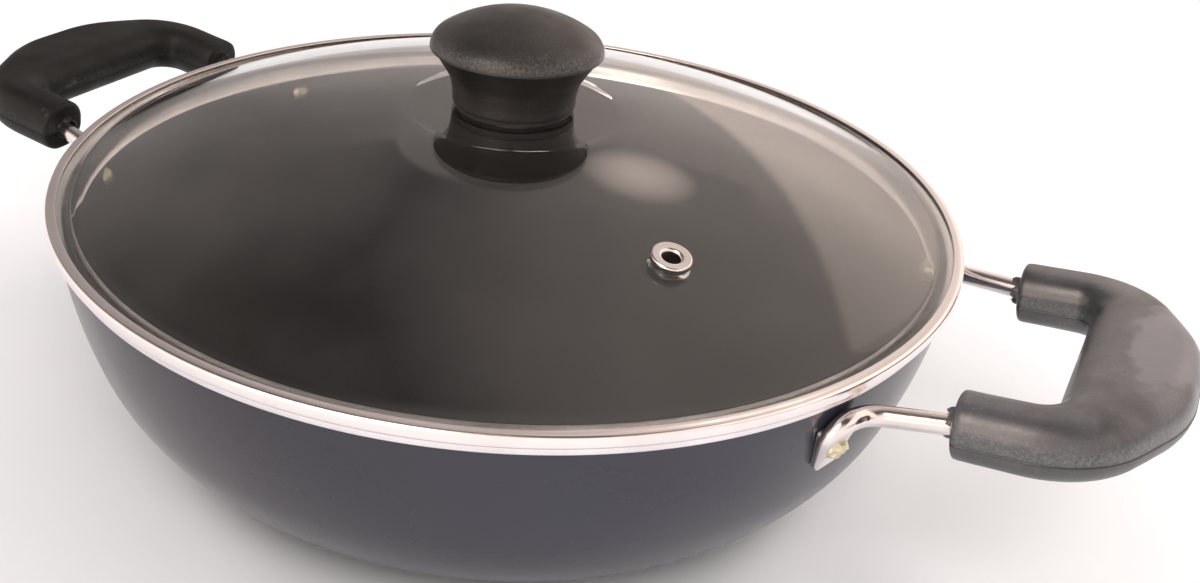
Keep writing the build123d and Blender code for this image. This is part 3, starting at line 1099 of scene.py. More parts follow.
@dataclass
class Bowl:
    """The pressed shell: flat base, two wall arcs, a bare turned lip. Sizes in mm."""

    rim_radius: float = 118.8
    height: float = 66.4
    base_radius: float = 62.0
    heel_radius: float = 53.0
    heel_end: float = 20.0
    wall: float = 2.8
    lip_height: float = 2.3
    lip_proud: float = 0.5
    lip_round: float = 0.6
    side_centre: tuple[float, float] = field(init=False)
    side_radius: float = field(init=False)

    def __post_init__(self) -> None:
        """Works out the upper arc, which joins the heel smoothly and ends at the rim."""
        heel = math.radians(self.heel_end)
        across, rise = self.rim_radius - self.base_radius, self.height - self.heel_radius
        along = across * math.cos(heel) - rise * math.sin(heel)
        reach = across**2 + rise**2
        self.side_radius = (reach - 2 * self.heel_radius * along + self.heel_radius**2) / (
            2 * (self.heel_radius - along)
        )
        shift = self.side_radius - self.heel_radius
        self.side_centre = (
            self.base_radius - shift * math.cos(heel),
            self.heel_radius + shift * math.sin(heel),
        )

    def arcs(self, height: float, inset: float) -> tuple[tuple[float, float], float]:
        """Centre and radius of the arc that the wall follows at a height.

        Args:
            height: the height, in mm.
            inset: how far it is set in from the outside, in mm.

        Returns:
            The centre and the radius, in mm.
        """
        joint = self.heel_radius - (self.heel_radius - inset) * math.sin(math.radians(self.heel_end))
        if height > joint:
            return self.side_centre, self.side_radius - inset
        return (self.base_radius, self.heel_radius), self.heel_radius - inset

    def radius_at(self, height: float, inset: float = 0.0) -> float:
        """Radius of the wall at a height, set in from the outside, in mm."""
        centre, radius = self.arcs(height, inset)
        return centre[0] + math.sqrt(radius**2 - (height - centre[1]) ** 2)

    def wall_frame(self, half_spacing: float, height: float, side: Side, end: End) -> Matrix:
        """Frame on the outer wall: X outwards along the wall, Y up it, Z out of it.

        Args:
            half_spacing: distance from the X axis, in mm.
            height: height on the wall, in mm.
            side: which handle.
            end: which end of it.

        Returns:
            The frame, in metres.
        """
        radius = self.radius_at(height)
        centre, curve = self.arcs(height, 0.0)
        slope = math.asin((centre[1] - height) / curve)
        turn = math.asin(half_spacing / radius)
        angle = end.value * turn if side is Side.RIGHT else math.pi - end.value * turn
        cos_a, sin_a, cos_s, sin_s = math.cos(angle), math.sin(angle), math.cos(slope), math.sin(slope)
        normal = Vector((cos_a * cos_s, sin_a * cos_s, -sin_s))
        along = Vector((-sin_a, cos_a, 0)) * (side.value * end.value)
        up = Vector((cos_a * sin_s, sin_a * sin_s, cos_s))
        spot = Vector((radius * cos_a, radius * sin_a, height)) * MM
        matrix = Matrix((along, up, normal)).transposed().to_4x4()
        matrix.translation = spot
        return matrix

    def wall_points(self, inset: float, low: float, high: float, steps: int, slot: int) -> Profile:
        """Points up the wall between two heights, set in from the outside.

        Args:
            inset: how far they are set in, in mm.
            low: first height, in mm.
            high: last height, in mm.
            steps: number of pieces.
            slot: the material slot of the faces that start here.

        Returns:
            The profile's points.
        """
        points = []
        for i in range(steps + 1):
            height = low + (high - low) * i / steps
            points.append((self.radius_at(height, inset), height, slot))
        return points

    def build(self, finishes: Finishes) -> bpy.types.Object:
        """Builds the shell.

        Args:
            finishes: the object's materials.

        Returns:
            The dressed shell.
        """
        outside, bare, inside, base = 0, 1, 2, 3
        heel = (self.base_radius, self.heel_radius)
        joint_deg = -self.heel_end
        lip_low = self.height - self.lip_height
        outer = self.rim_radius + self.lip_proud
        inner_rim = self.radius_at(self.height, self.wall)
        sine = math.sin(math.radians(self.heel_end))
        heel_top = self.heel_radius - self.heel_radius * sine
        inner_heel_top = self.heel_radius - (self.heel_radius - self.wall) * sine
        lip, lip_top = self.lip_round, self.height - self.lip_round
        profile: Profile = [(0, 0, base)]
        profile += [(r, 0.0, base) for r in (15, 30, 45, 58)]
        profile += arc(heel, self.heel_radius, -90, joint_deg, 28, outside)
        profile += self.wall_points(0.0, heel_top + 1.5, lip_low - 0.15, 18, outside)
        profile += [(self.radius_at(lip_low), lip_low, bare)]
        profile += arc((outer - 0.45, lip_low + 0.6), 0.45, -60, 0, 4, bare)
        profile += arc((outer - lip, lip_top), lip, 0, 90, 6, bare)
        profile += arc((inner_rim + lip, lip_top), lip, 90, 180, 6, inside)
        profile += self.wall_points(self.wall, self.height - 1.2, inner_heel_top + 1.5, 18, inside)
        profile += arc(heel, self.heel_radius - self.wall, joint_deg, -90, 28, inside)
        profile += [(r, self.wall, inside) for r in (45, 30, 15)]
        profile += [(0, self.wall, inside)]
        shell = lathe(
            "bowl_shell", profile, (finishes.outside, finishes.lip, finishes.inside, finishes.base), 320
        )
        return settle(shell, "pan", ["bowl"])


@dataclass
class Rivets:
    """Four aluminium rivets: rough formed heads outside, smooth domed heads inside. Sizes in mm."""

    bowl: Bowl
    half_spacing: float = 45.4
    height: float = 54.0
    outer_radius: float = 3.9
    outer_rise: float = 2.5
    inner_radius: float = 3.1
    inner_rise: float = 1.5
    seat: float = 2.05
    back: float = 2.9

    def head(self, name: str, radius: float, rise: float, rough: float) -> bpy.types.Object:
        """A domed head on Z = 0.

        Args:
            name: the shape's name.
            radius: its radius.
            rise: its height.
            rough: how far the hammering moves its skin, in mm.

        Returns:
            The shape.
        """
        ball = (radius**2 + rise**2) / (2 * rise)
        half = math.degrees(math.asin(radius / ball))
        profile: Profile = [(0, -0.6, 0), (radius * 0.7, -0.6, 0), (radius * 0.7, 0, 0)]
        profile += arc((0, rise - ball), ball, 90 - half, 90, 10)[:-1]
        profile += [(0, rise, 0)]
        made = lathe(name, profile, (), 36)
        for vertex in made.data.vertices:
            if vertex.co.z > 0:
                spin = math.atan2(vertex.co.y, vertex.co.x)
                far = math.hypot(vertex.co.x, vertex.co.y) / (radius * MM)
                wave = math.sin(3 * spin + 0.7 + 4 * far) * 0.5 + math.sin(7 * spin + 2.1 - 5 * far) * 0.5
                vertex.co.z *= 1 - 0.42 * rough * (wave + math.sin(9 * far + spin)) * min(1.0, far * 1.5)
                vertex.co.x *= 1 - 0.25 * rough * (1 + wave) * far
                vertex.co.y *= 1 - 0.25 * rough * (1 - wave) * far
        return made

    def build(self, finishes: Finishes) -> None:
        """Builds the outer and the inner heads.

        Args:
            finishes: the object's materials.
        """
        outer, inner = [], []
        for side in Side:
            for end in End:
                frame_here = self.bowl.wall_frame(self.half_spacing, self.height, side, end)
                normal = frame_here.col[2].to_3d()
                outer.append((frame_here.translation + normal * self.seat * MM, normal))
                inner.append((frame_here.translation - normal * self.back * MM, -normal))
        nodes = [f"rivet_{s.name.lower()}_{e.name.lower()}" for s in Side for e in End]
        shape = self.head("formed_head", self.outer_radius, self.outer_rise, 0.45)
        heads = Scatter("rivet_heads_outside", shape, finishes.rivet).build(outer, 3.0, 11)
        settle(heads, "pan", nodes)
        shape = self.head("domed_head", self.inner_radius, self.inner_rise, 0.0)
        heads = Scatter("rivet_heads_inside", shape, finishes.rivet).build(inner, 3.0, 5)
        settle(heads, "pan")


@dataclass
class Handle:
    """One loop handle: a bent wire with flattened ends in a moulded grip. Sizes in mm."""

    bowl: Bowl
    side: Side
    rod_radius: float = 2.4
    half_spacing: float = 35.3
    tilt: float = 6.7
    root_reach: float = 118.0
    root_height: float = 60.2
    root_splay: float = 3.8
    splay_start: float = 4.0
    knee_radius: float = 6.5
    rivet_spacing: float = 45.4
    rivet_height: float = 54.0
    foot_reach: float = 5.2
    foot_rise: float = 7.9
    foot_radius: float = 5.2
    tip_reach: float = 1.9
    tip_drop: float = 7.2
    tab_thickness: float = 1.7
    gap: float = 0.15
    grip_start: float = 132.0
    grip_inner: float = 150.5
    grip_outer: float = 176.2
    leg_width: float = 14.6
    grip_height: float = 14.4
    grip_corner: float = 6.2
    shoulder_start: float = 161.6
    shoulder_half: float = 13.5
    shoulder_round: float = 24.0
    nose_round: float = 36.0
    nook_round: float = 5.0
    seam_drop: float = 1.3
    turn_start: float = 152.0
    flat_end: float = 16.0
    # distance along the wire from its tip, half width and thickness, up to the round rod
    stations: tuple[tuple[float, float, float], ...] = (
        (0.0, 0.25, 0.5),
        (0.4, 0.8, 1.3),
        (1.2, 1.05, 1.9),
        (4.0, 1.25, 2.3),
        (7.0, 1.5, 2.8),
        (10.0, 1.9, 3.6),
        (13.0, 2.25, 4.4),
        (16.0, 2.4, 4.8),
        (400.0, 2.4, 4.8),
    )

    def on_plane(self, reach: float, across: float, lift: float = 0.0) -> Vector:
        """A point of the handle's sloping plane.

        Args:
            reach: distance along the plane, counted from the axis, in mm.
            across: distance from the X axis, in mm.
            lift: height above the plane, in mm.

        Returns:
            The point, in metres.
        """
        angle = math.radians(self.tilt)
        run = reach - self.root_reach
        x = self.root_reach + run * math.cos(angle) - lift * math.sin(angle)
        z = self.root_height + run * math.sin(angle) + lift * math.cos(angle)
        return Vector((self.side.value * x, across, z)) * MM

    def wire_path(self, end: End) -> tuple[Matrix, list[Vector]]:
        """The wire's centre line from the tab's tip, along the wall, to inside the grip.

        Args:
            end: which end of the handle.

        Returns:
            The wall's frame at the rivet, and evenly spaced points in metres.
        """
        wall = self.bowl.wall_frame(self.rivet_spacing, self.rivet_height, self.side, end)
        normal = wall.col[2].to_3d()
        start = self.on_plane(self.root_reach, end.value * (self.half_spacing + self.root_splay))
        entry = self.on_plane(self.grip_start + self.splay_start, end.value * self.half_spacing)
        along = entry - start
        level = (self.gap + self.rod_radius) * MM
        knee = start + along * ((level - (start - wall.translation).dot(normal)) / along.dot(normal))
        foot = wall @ Vector((self.foot_reach * MM, self.foot_rise * MM, level))
        tip = wall @ Vector((self.tip_reach * MM, -self.tip_drop * MM, level))
        path = bend([tip, foot, knee, entry], [self.foot_radius * MM, self.knee_radius * MM])
        count = 90
        return wall, [walk(path, i / count) for i in range(count + 1)]

    def wire_end(self, end: End, finishes: Finishes) -> bpy.types.Object:
        """One end of the wire: a round rod that is beaten flat into the tab's raised edge.

        Args:
            end: which end of the handle.
            finishes: the object's materials.

        Returns:
            The wire's end with its tab.
        """
        wall, path = self.wire_path(end)
        normal = wall.col[2].to_3d()
        rings = []
        run = 0.0
        lean = normal
        for i, spot in enumerate(path):
            if i:
                run += (spot - path[i - 1]).length / MM
            ahead = path[min(i + 1, len(path) - 1)] - path[max(i - 1, 0)]
            ahead.normalize()
            lean = (lean - ahead * lean.dot(ahead)).normalized()
            wide, thick = self.wire_size(run)
            sink = min(run / self.flat_end, 1.0)
            centre = spot - normal * (self.rod_radius - thick / 2) * MM * (1 if sink < 1 else 0)
            power = 2.0 + 0.8 * (1 - sink)
            rings.append(section(centre, ahead.cross(lean), lean, wide * MM, thick / 2 * MM, power))
        wire = loft(f"wire_{end.name.lower()}", rings, (finishes.wire,), 50.0)
        return merge(f"end_{end.name.lower()}", [wire, self.leaf(end, wall, finishes)])

    def wire_size(self, run: float) -> tuple[float, float]:
        """Half width and thickness of the wire at a distance from its tip.

        Args:
            run: the distance, in mm.

        Returns:
            Both sizes, in mm.
        """
        for (a, wide_a, thick_a), (b, wide_b, thick_b) in zip(self.stations, self.stations[1:]):
            if run <= b:
                t = (run - a) / (b - a)
                break
        return wide_a + (wide_b - wide_a) * t, thick_a + (thick_b - thick_a) * t

    def leaf(self, end: End, wall: Matrix, finishes: Finishes) -> bpy.types.Object:
        """The flat leaf on the wall that the rivet holds.

        Args:
            end: which end of the handle.
            wall: the wall's frame at the rivet.
            finishes: the object's materials.

        Returns:
            The leaf.
        """
        rounds = (
            (self.foot_reach - 1.2, 3.4, 1.2),
            (self.tip_reach + 0.2, -self.tip_drop + 0.5, 0.7),
            (-2.7, -6.0, 0.5),
            (-6.4, 1.8, 0.3),
            (-6.6, 5.0, 0.5),
            (-0.2, 0.2, 3.2),
        )
        top = self.gap + self.tab_thickness
        return plate(f"leaf_{end.name.lower()}", rounds, self.gap, top, 0.3, wall, (finishes.wire,))

    def wire(self, finishes: Finishes) -> bpy.types.Object:
        """The plated wire's two visible ends, each running into the grip.

        Args:
            finishes: the object's materials.

        Returns:
            The wire.
        """
        name = self.side.name.lower()
        piece = merge(f"wire_{name}", [self.wire_end(end, finishes) for end in End])
        return settle(piece, "pan", [f"handle_rod_{name}"])

    def outline(self) -> list[tuple[Vector, Vector]]:
        """Matched inner and outer points round the grip's plan, from the rear leg to the front leg.

        Returns:
            Pairs of plan points: distance along the plane and across, in mm.
        """
        half = self.half_spacing + self.leg_width / 2
        gap = self.half_spacing - self.leg_width / 2
        nook = self.nook_round
        corners = ((self.grip_start, gap), (self.grip_inner, gap), (self.grip_inner, 0))
        inner = bend([Vector((x, y, 0)) for x, y in corners], [nook])
        corners = (
            (self.grip_start, half),
            (self.shoulder_start, half),
            (self.grip_outer, self.shoulder_half),
            (self.grip_outer, 0),
        )
        outer = bend([Vector((x, y, 0)) for x, y in corners], [self.shoulder_round, self.nose_round])
        turn_in, turn_out = self.grip_inner - nook, self.turn_start
        knots = [
            (0.0, 0.0),
            (share_at(inner, lambda p: p.x >= turn_in), share_at(outer, lambda p: p.x >= turn_out)),
            (share_at(inner, lambda p: p.y <= gap - nook), share_at(outer, lambda p: p.y <= gap - 2.0)),
            (1.0, 1.0),
        ]
        pairs = []
        steps = 30
        for (a0, b0), (a1, b1) in zip(knots, knots[1:]):
            for i in range(steps):
                t = i / steps
                pairs.append((walk(inner, a0 + (a1 - a0) * t), walk(outer, b0 + (b1 - b0) * t)))
        pairs.append((inner[-1], outer[-1]))
        mirrored = [(Vector((a.x, -a.y, 0)), Vector((b.x, -b.y, 0))) for a, b in reversed(pairs[:-1])]
        return pairs + mirrored

    def grip_ring(
        self, inner: Vector, outer: Vector, shrink: float = 0.0, slide: float = 0.0
    ) -> list[Vector]:
        """One ring round the grip between an inner and an outer plan point.

        Args:
            inner: plan point on the gap's side.
            outer: plan point on the outside.
            shrink: how far the ring is drawn in, in mm.
            slide: how far it moves along the leg, in mm.

        Returns:
            The ring's points, in metres.
        """
        middle = (inner + outer) / 2
        across = (outer - inner).normalized()
        width = (outer - inner).length / 2 - shrink
        rise = self.grip_height / 2 - shrink
        corner = min(self.grip_corner, rise, width)
        ring = []
        for quarter in range(4):
            for j in range(10):
                angle = math.radians(90 * (quarter + j / 10))
                x = math.cos(angle) * corner + math.copysign(width - corner, math.cos(angle + 1e-9))
                y = math.sin(angle) * corner + math.copysign(rise - corner, math.sin(angle + 1e-9))
                if quarter == 1 and j == 0:
                    x, y = -(width - corner), rise
                plan = middle + across * x
                ring.append(self.on_plane(plan.x + slide, plan.y, y))
        return ring

    def grip(self, finishes: Finishes) -> bpy.types.Object:
        """The moulded grip with its parting line and the ragged flash round the wire.

        Args:
            finishes: the object's materials.

        Returns:
            The grip.
        """
        pairs = self.outline()
        rounding = ((3.8, 0.0), (1.6, 0.0), (1.15, 0.02), (0.75, 0.15), (0.35, 0.42), (0.1, 0.8))
        rings = [self.grip_ring(*pairs[0], shrink, slide) for shrink, slide in rounding]
        rings += [self.grip_ring(inner, outer) for inner, outer in pairs if inner.x - self.grip_start > 1.2]
        rings += [self.grip_ring(*pairs[-1], shrink, slide) for shrink, slide in reversed(rounding)]
        name = self.side.name.lower()
        body = loft(f"grip_{name}_moulded", rings, (finishes.grip[self.side],), 60.0)
        flashes = [self.flash(end, finishes) for end in End]
        piece = merge(f"grip_{name}_moulded", [body, *flashes, self.parting_line(pairs, finishes)])
        return settle(piece, "pan", [f"grip_{name}"])

    def flash(self, end: End, finishes: Finishes) -> bpy.types.Object:
        """Ragged collar of moulding flash where the wire enters a leg.

        Args:
            end: which leg.
            finishes: the object's materials.

        Returns:
            The collar.
        """
        rings = []
        for reach, radius in ((1.0, 3.3), (-0.4, 3.25), (-1.1, 2.9), (-1.3, 2.45), (-0.6, 2.3), (1.0, 2.3)):
            ring = []
            for j in range(32):
                angle = 2 * math.pi * j / 32
                wave = 0.5 * math.sin(3 * angle + end.value)
                torn = 0.5 + wave * math.sin(7 * angle + 1.3 * self.side.value)
                run = reach - (torn * 1.3 if reach < 0 else 0)
                size = radius + (0.35 * math.sin(5 * angle + 0.8) if radius > 2.8 else 0)
                ring.append(
                    self.on_plane(
                        self.grip_start + run,
                        end.value * self.half_spacing + size * math.cos(angle),
                        size * math.sin(angle),
                    )
                )
            rings.append(ring)
        return loft(f"flash_{end.name.lower()}", rings, (finishes.grip[self.side],), 30.0)

    def parting_line(self, pairs: Sequence[tuple[Vector, Vector]], finishes: Finishes) -> bpy.types.Object:
        """A thin raised seam round the outside, low on the side.

        Args:
            pairs: the grip's matched plan points.
            finishes: the object's materials.

        Returns:
            The seam.
        """
        low = -self.seam_drop
        corner = self.grip_corner
        lip = self.grip_height / 2 - corner
        inward = corner - math.sqrt(corner**2 - max(0.0, abs(low) - lip) ** 2)
        strips = []
        for which in (0, 1):
            rings = []
            for inner, outer in pairs[2:-2]:
                across = (outer - inner).normalized()
                edge = outer - across * inward if which else inner + across * inward
                way = across if which else -across
                ring = []
                for out, up in ((-0.4, 0.3), (0.02, 0.16), (0.11, 0.0), (0.02, -0.16), (-0.4, -0.3)):
                    spot = edge + way * out
                    ring.append(self.on_plane(spot.x, spot.y, low + up))
                rings.append(ring)
            strips.append(loft(f"seam_{which}", rings, (finishes.grip[self.side],), 60.0))
        return merge("seam", strips)

    def build(self, finishes: Finishes) -> None:
        """Builds the wire and the grip."""
        self.wire(finishes)
        self.grip(finishes)


# ---------------------------------------------------------------- the lid


@dataclass
class Lid:
    """The glass dome in its folded steel ring. Sizes in mm."""

    bowl: Bowl
    ring_radius: float = 121.0
    ring_low: float = 66.7
    ring_high: float = 70.0
    sheet: float = 0.4
    fold: float = 0.9
    top_width: float = 2.7
    skirt_clearance: float = 1.1
    skirt_depth: float = 5.4
    curl: float = 0.9
    glass_low: float = 67.25
    glass_high: float = 69.45
    glass_radius: float = 120.2
    edge_land: float = 3.6
    seat_radius: float = 29.0
    seat_height: float = 90.95
    thickness: float = 3.0
    seat_crease: float = 0.12
    seat_flat: float = 0.6
    edge_ease: float = 0.8
    dome_steps: int = 40
    hole_radius: float = 4.0
    vent_hole: float = 3.8
    vent_bore: float = 2.2
    vent_distance: float = 77.0
    vent_angle: float = -32.3
    centre: float = field(init=False)
    ball: float = field(init=False)

    def __post_init__(self) -> None:
        """Works out the dome's sphere."""
        low = (self.glass_radius - self.edge_land, self.glass_high)
        high = (self.seat_radius, self.seat_height)
        self.centre = (low[0] ** 2 + low[1] ** 2 - high[0] ** 2 - high[1] ** 2) / (2 * (low[1] - high[1]))
        self.ball = math.hypot(low[0], low[1] - self.centre)

    def dome(self, radius: float, inset: float = 0.0) -> float:
        """Height of the dome's sphere at a radius, in mm."""
        return self.centre + math.sqrt((self.ball - inset) ** 2 - radius**2)

    def vent_frame(self) -> Matrix:
        """Frame on the glass at the vent: Z out of the glass.

        Returns:
            The frame, in metres.
        """
        turn = math.radians(self.vent_angle)
        tip = math.asin(self.vent_distance / self.ball)
        normal = Vector((math.sin(tip) * math.cos(turn), math.sin(tip) * math.sin(turn), math.cos(tip)))
        across = Vector((-math.sin(turn), math.cos(turn), 0))
        matrix = Matrix((across, normal.cross(across), normal)).transposed().to_4x4()
        matrix.translation = (Vector((0, 0, self.centre)) + normal * self.ball) * MM
        return matrix

    def glass(self, finishes: Finishes) -> bpy.types.Object:
        """The dome: a flat seat for the knob, a crisp bend, a sphere and a ground edge.

        Args:
            finishes: the object's materials.

        Returns:
            The glass.
        """
        crease, flat, ease, steps = self.seat_crease, self.seat_flat, self.edge_ease, self.dome_steps
        under = self.seat_height - self.thickness
        edge = self.glass_radius - self.edge_land
        inner = self.ball - self.thickness
        low_seat = math.sqrt(inner**2 - (under - self.centre) ** 2)
        low_edge = math.sqrt(inner**2 - (self.glass_low - self.centre) ** 2)
        profile: Profile = [(r, under, 0) for r in (self.hole_radius, low_seat - flat, low_seat - crease)]
        for i in range(1, steps + 1):
            r = low_seat + crease + (low_edge - ease - low_seat - crease) * i / steps
            profile.append((r, self.dome(r, self.thickness), 0))
        profile += [(r, self.glass_low, 0) for r in (low_edge + ease, self.glass_radius - ease)]
        middle = (self.glass_low + self.glass_high) / 2
        half = (self.glass_high - self.glass_low) / 2
        profile += arc((self.glass_radius - half, middle), half, -80, 80, 10)
        profile += [(edge + ease, self.glass_high, 0)]
        for i in range(steps + 1):
            r = edge - ease + (self.seat_radius + crease - edge + ease) * i / steps
            profile.append((r, self.dome(r), 0))
        seat = self.seat_radius
        profile += [(r, self.seat_height, 0) for r in (seat - crease, seat - flat, self.hole_radius)]
        piece = lathe("lid_glass_dome", profile, (finishes.glass,), 288, None, 30.0)
        bore = [(0, -9, 0), (self.vent_hole, -9, 0), (self.vent_hole, 9, 0), (0, 9, 0)]
        cut(piece, lathe("vent_tool", bore, (), 48, self.vent_frame()))
        return settle(piece, "lid", ["lid_glass"])

    def ring(self, finishes: Finishes) -> bpy.types.Object:
        """The folded strip, rounded at its folds and rolled at its ends.

        Args:
            finishes: the object's materials.

        Returns:
            The ring.
        """
        skirt = self.bowl.radius_at(self.ring_low - self.skirt_depth, self.bowl.wall) - self.skirt_clearance
        foot = self.ring_low - self.skirt_depth
        out, fold, t = self.ring_radius, self.fold, self.sheet
        top = out - self.top_width
        profile: Profile = []
        profile += arc((top + t / 2, self.ring_high - t / 2), t / 2, 270, 90, 6)
        profile += arc((out - fold, self.ring_high - fold), fold, 90, 0, 8)
        profile += arc((out - fold, self.ring_low + fold), fold, 0, -90, 8)
        profile += [(skirt + 0.5, self.ring_low, 0), (skirt, self.ring_low - 0.5, 0), (skirt, foot, 0)]
        profile += [(skirt - self.curl, foot - self.curl, 0)]
        profile += [(skirt - self.curl - t, foot - self.curl + 0.1, 0)]
        profile += [(skirt - t, foot + 0.2, 0), (skirt - t, self.ring_low + t - 0.2, 0)]
        profile += [(skirt - t + 0.3, self.ring_low + t, 0)]
        profile += arc((out - fold, self.ring_low + fold), fold - t, -90, 0, 6)
        profile += arc((out - fold, self.ring_high - fold), fold - t, 0, 90, 6)
        piece = lathe("lid_ring_folded", profile, (finishes.ring,), 320, None, 50.0)
        return settle(piece, "lid", ["lid_ring"])

    def vent(self, finishes: Finishes) -> bpy.types.Object:
        """The eyelet: a rolled flange, a tube and a clinched foot.

        Args:
            finishes: the object's materials.

        Returns:
            The eyelet.
        """
        low = -self.thickness - 0.7
        profile: Profile = [(self.vent_bore, low - 0.6, 0), (4.1, low - 0.7, 0), (4.2, low - 0.1, 0)]
        profile += [(2.95, low, 0), (2.9, 0.4, 0)]
        profile += arc((4.35, 0.95), 0.55, -90, 90, 8)
        profile += arc((3.1, 0.4), 0.95, 80, 170, 6)
        profile += [(self.vent_bore, 0.2, 0)]
        piece = lathe("vent_eyelet_rolled", profile, (finishes.eyelet,), 64, self.vent_frame())
        return settle(piece, "lid", ["vent_eyelet"])

    def build(self, finishes: Finishes) -> None:
        """Builds the glass, the ring and the vent, and dresses the small parts.

        Args:
            finishes: the object's materials.
        """
        self.glass(finishes)
        self.ring(finishes)
        self.vent(finishes)
        dress("ring_seal", finishes.silicone)
        dress("vent_seal", finishes.silicone)
        dress("vent_washer", finishes.eyelet)


@dataclass
class Knob:
    """The mushroom knob and what holds it. Sizes in mm."""

    foot_height: float = 92.35
    foot_radius: float = 16.5
    foot_round: float = 0.35
    waist: float = 0.3
    neck_radius: float = 17.6
    neck_height: float = 7.2
    flare: float = 1.12
    brim_radius: float = 22.8
    brim_height: float = 14.6
    swell: float = 0.25
    band: float = 0.1
    brim_round: float = 5.0
    lip: float = 0.25
    height: float = 25.1
    pocket_radius: float = 11.5
    pocket_depth: float = 1.0

    def cap(self, brim: float, low: float, high: float) -> Profile:
        """The cap's section: a rounded brim that runs into a shallow dome.

        Args:
            brim: the cap's radius, in mm.
            low: height at which the brim starts to round, in mm.
            high: height of the top, in mm.

        Returns:
            The profile's points.
        """
        inset = brim - self.brim_round
        rise = high - low
        ball = (inset**2 + rise**2 - self.brim_round**2) / (2 * (rise - self.brim_round))
        turn = math.degrees(math.atan2(low - high + ball, inset))
        points = arc((inset, low), self.brim_round, 0, turn, 12)
        return points + arc((0, high - ball), ball, turn, 90, 22)[1:-1] + [(0, high, 0)]

    def build(self, finishes: Finishes) -> bpy.types.Object:
        """Builds the knob and dresses its screw, washers and gaskets.

        Args:
            finishes: the object's materials.

        Returns:
            The dressed knob.
        """
        base = self.foot_height
        crease = base + self.brim_height
        low = crease + self.band
        pocket = base + self.pocket_depth
        profile: Profile = [(0, pocket, 0), (self.pocket_radius, pocket, 0), (self.pocket_radius, base, 0)]
        soft = self.foot_round
        profile += arc((self.foot_radius - soft, base + soft), soft, -90, 0, 5)
        for i in range(1, 10):
            t = i / 9
            waist = self.waist * math.sin(math.pi * t)
            spread = self.foot_radius + (self.neck_radius - self.foot_radius) * t - waist
            profile.append((spread, base + 0.5 + (self.neck_height - 0.5) * t, 0))
        under = self.brim_radius - self.lip
        for i in range(1, 10):
            t = i / 9
            rise = (self.brim_height - self.neck_height) * (1 - (1 - t) ** self.flare)
            spread = self.neck_radius + (under - self.neck_radius) * t
            profile.append((spread, base + self.neck_height + rise, 0))
        brim = self.brim_radius + self.swell
        profile += [(self.brim_radius + 0.05, crease - 0.02, 0), (brim, crease + 0.12, 0)]
        profile += self.cap(brim, low, base + self.height)
        piece = lathe("knob_moulded", profile, (finishes.knob,), 192, None, 35.0)
        for node in ("knob_gasket", "knob_lower_gasket"):
            dress(node, finishes.rubber)
        for node in ("knob_washer", "knob_screw"):
            dress(node, finishes.zinc)
        dress("knob_insert", finishes.brass)
        return settle(piece, "lid", ["knob"])


# ---------------------------------------------------------------- studio and camera


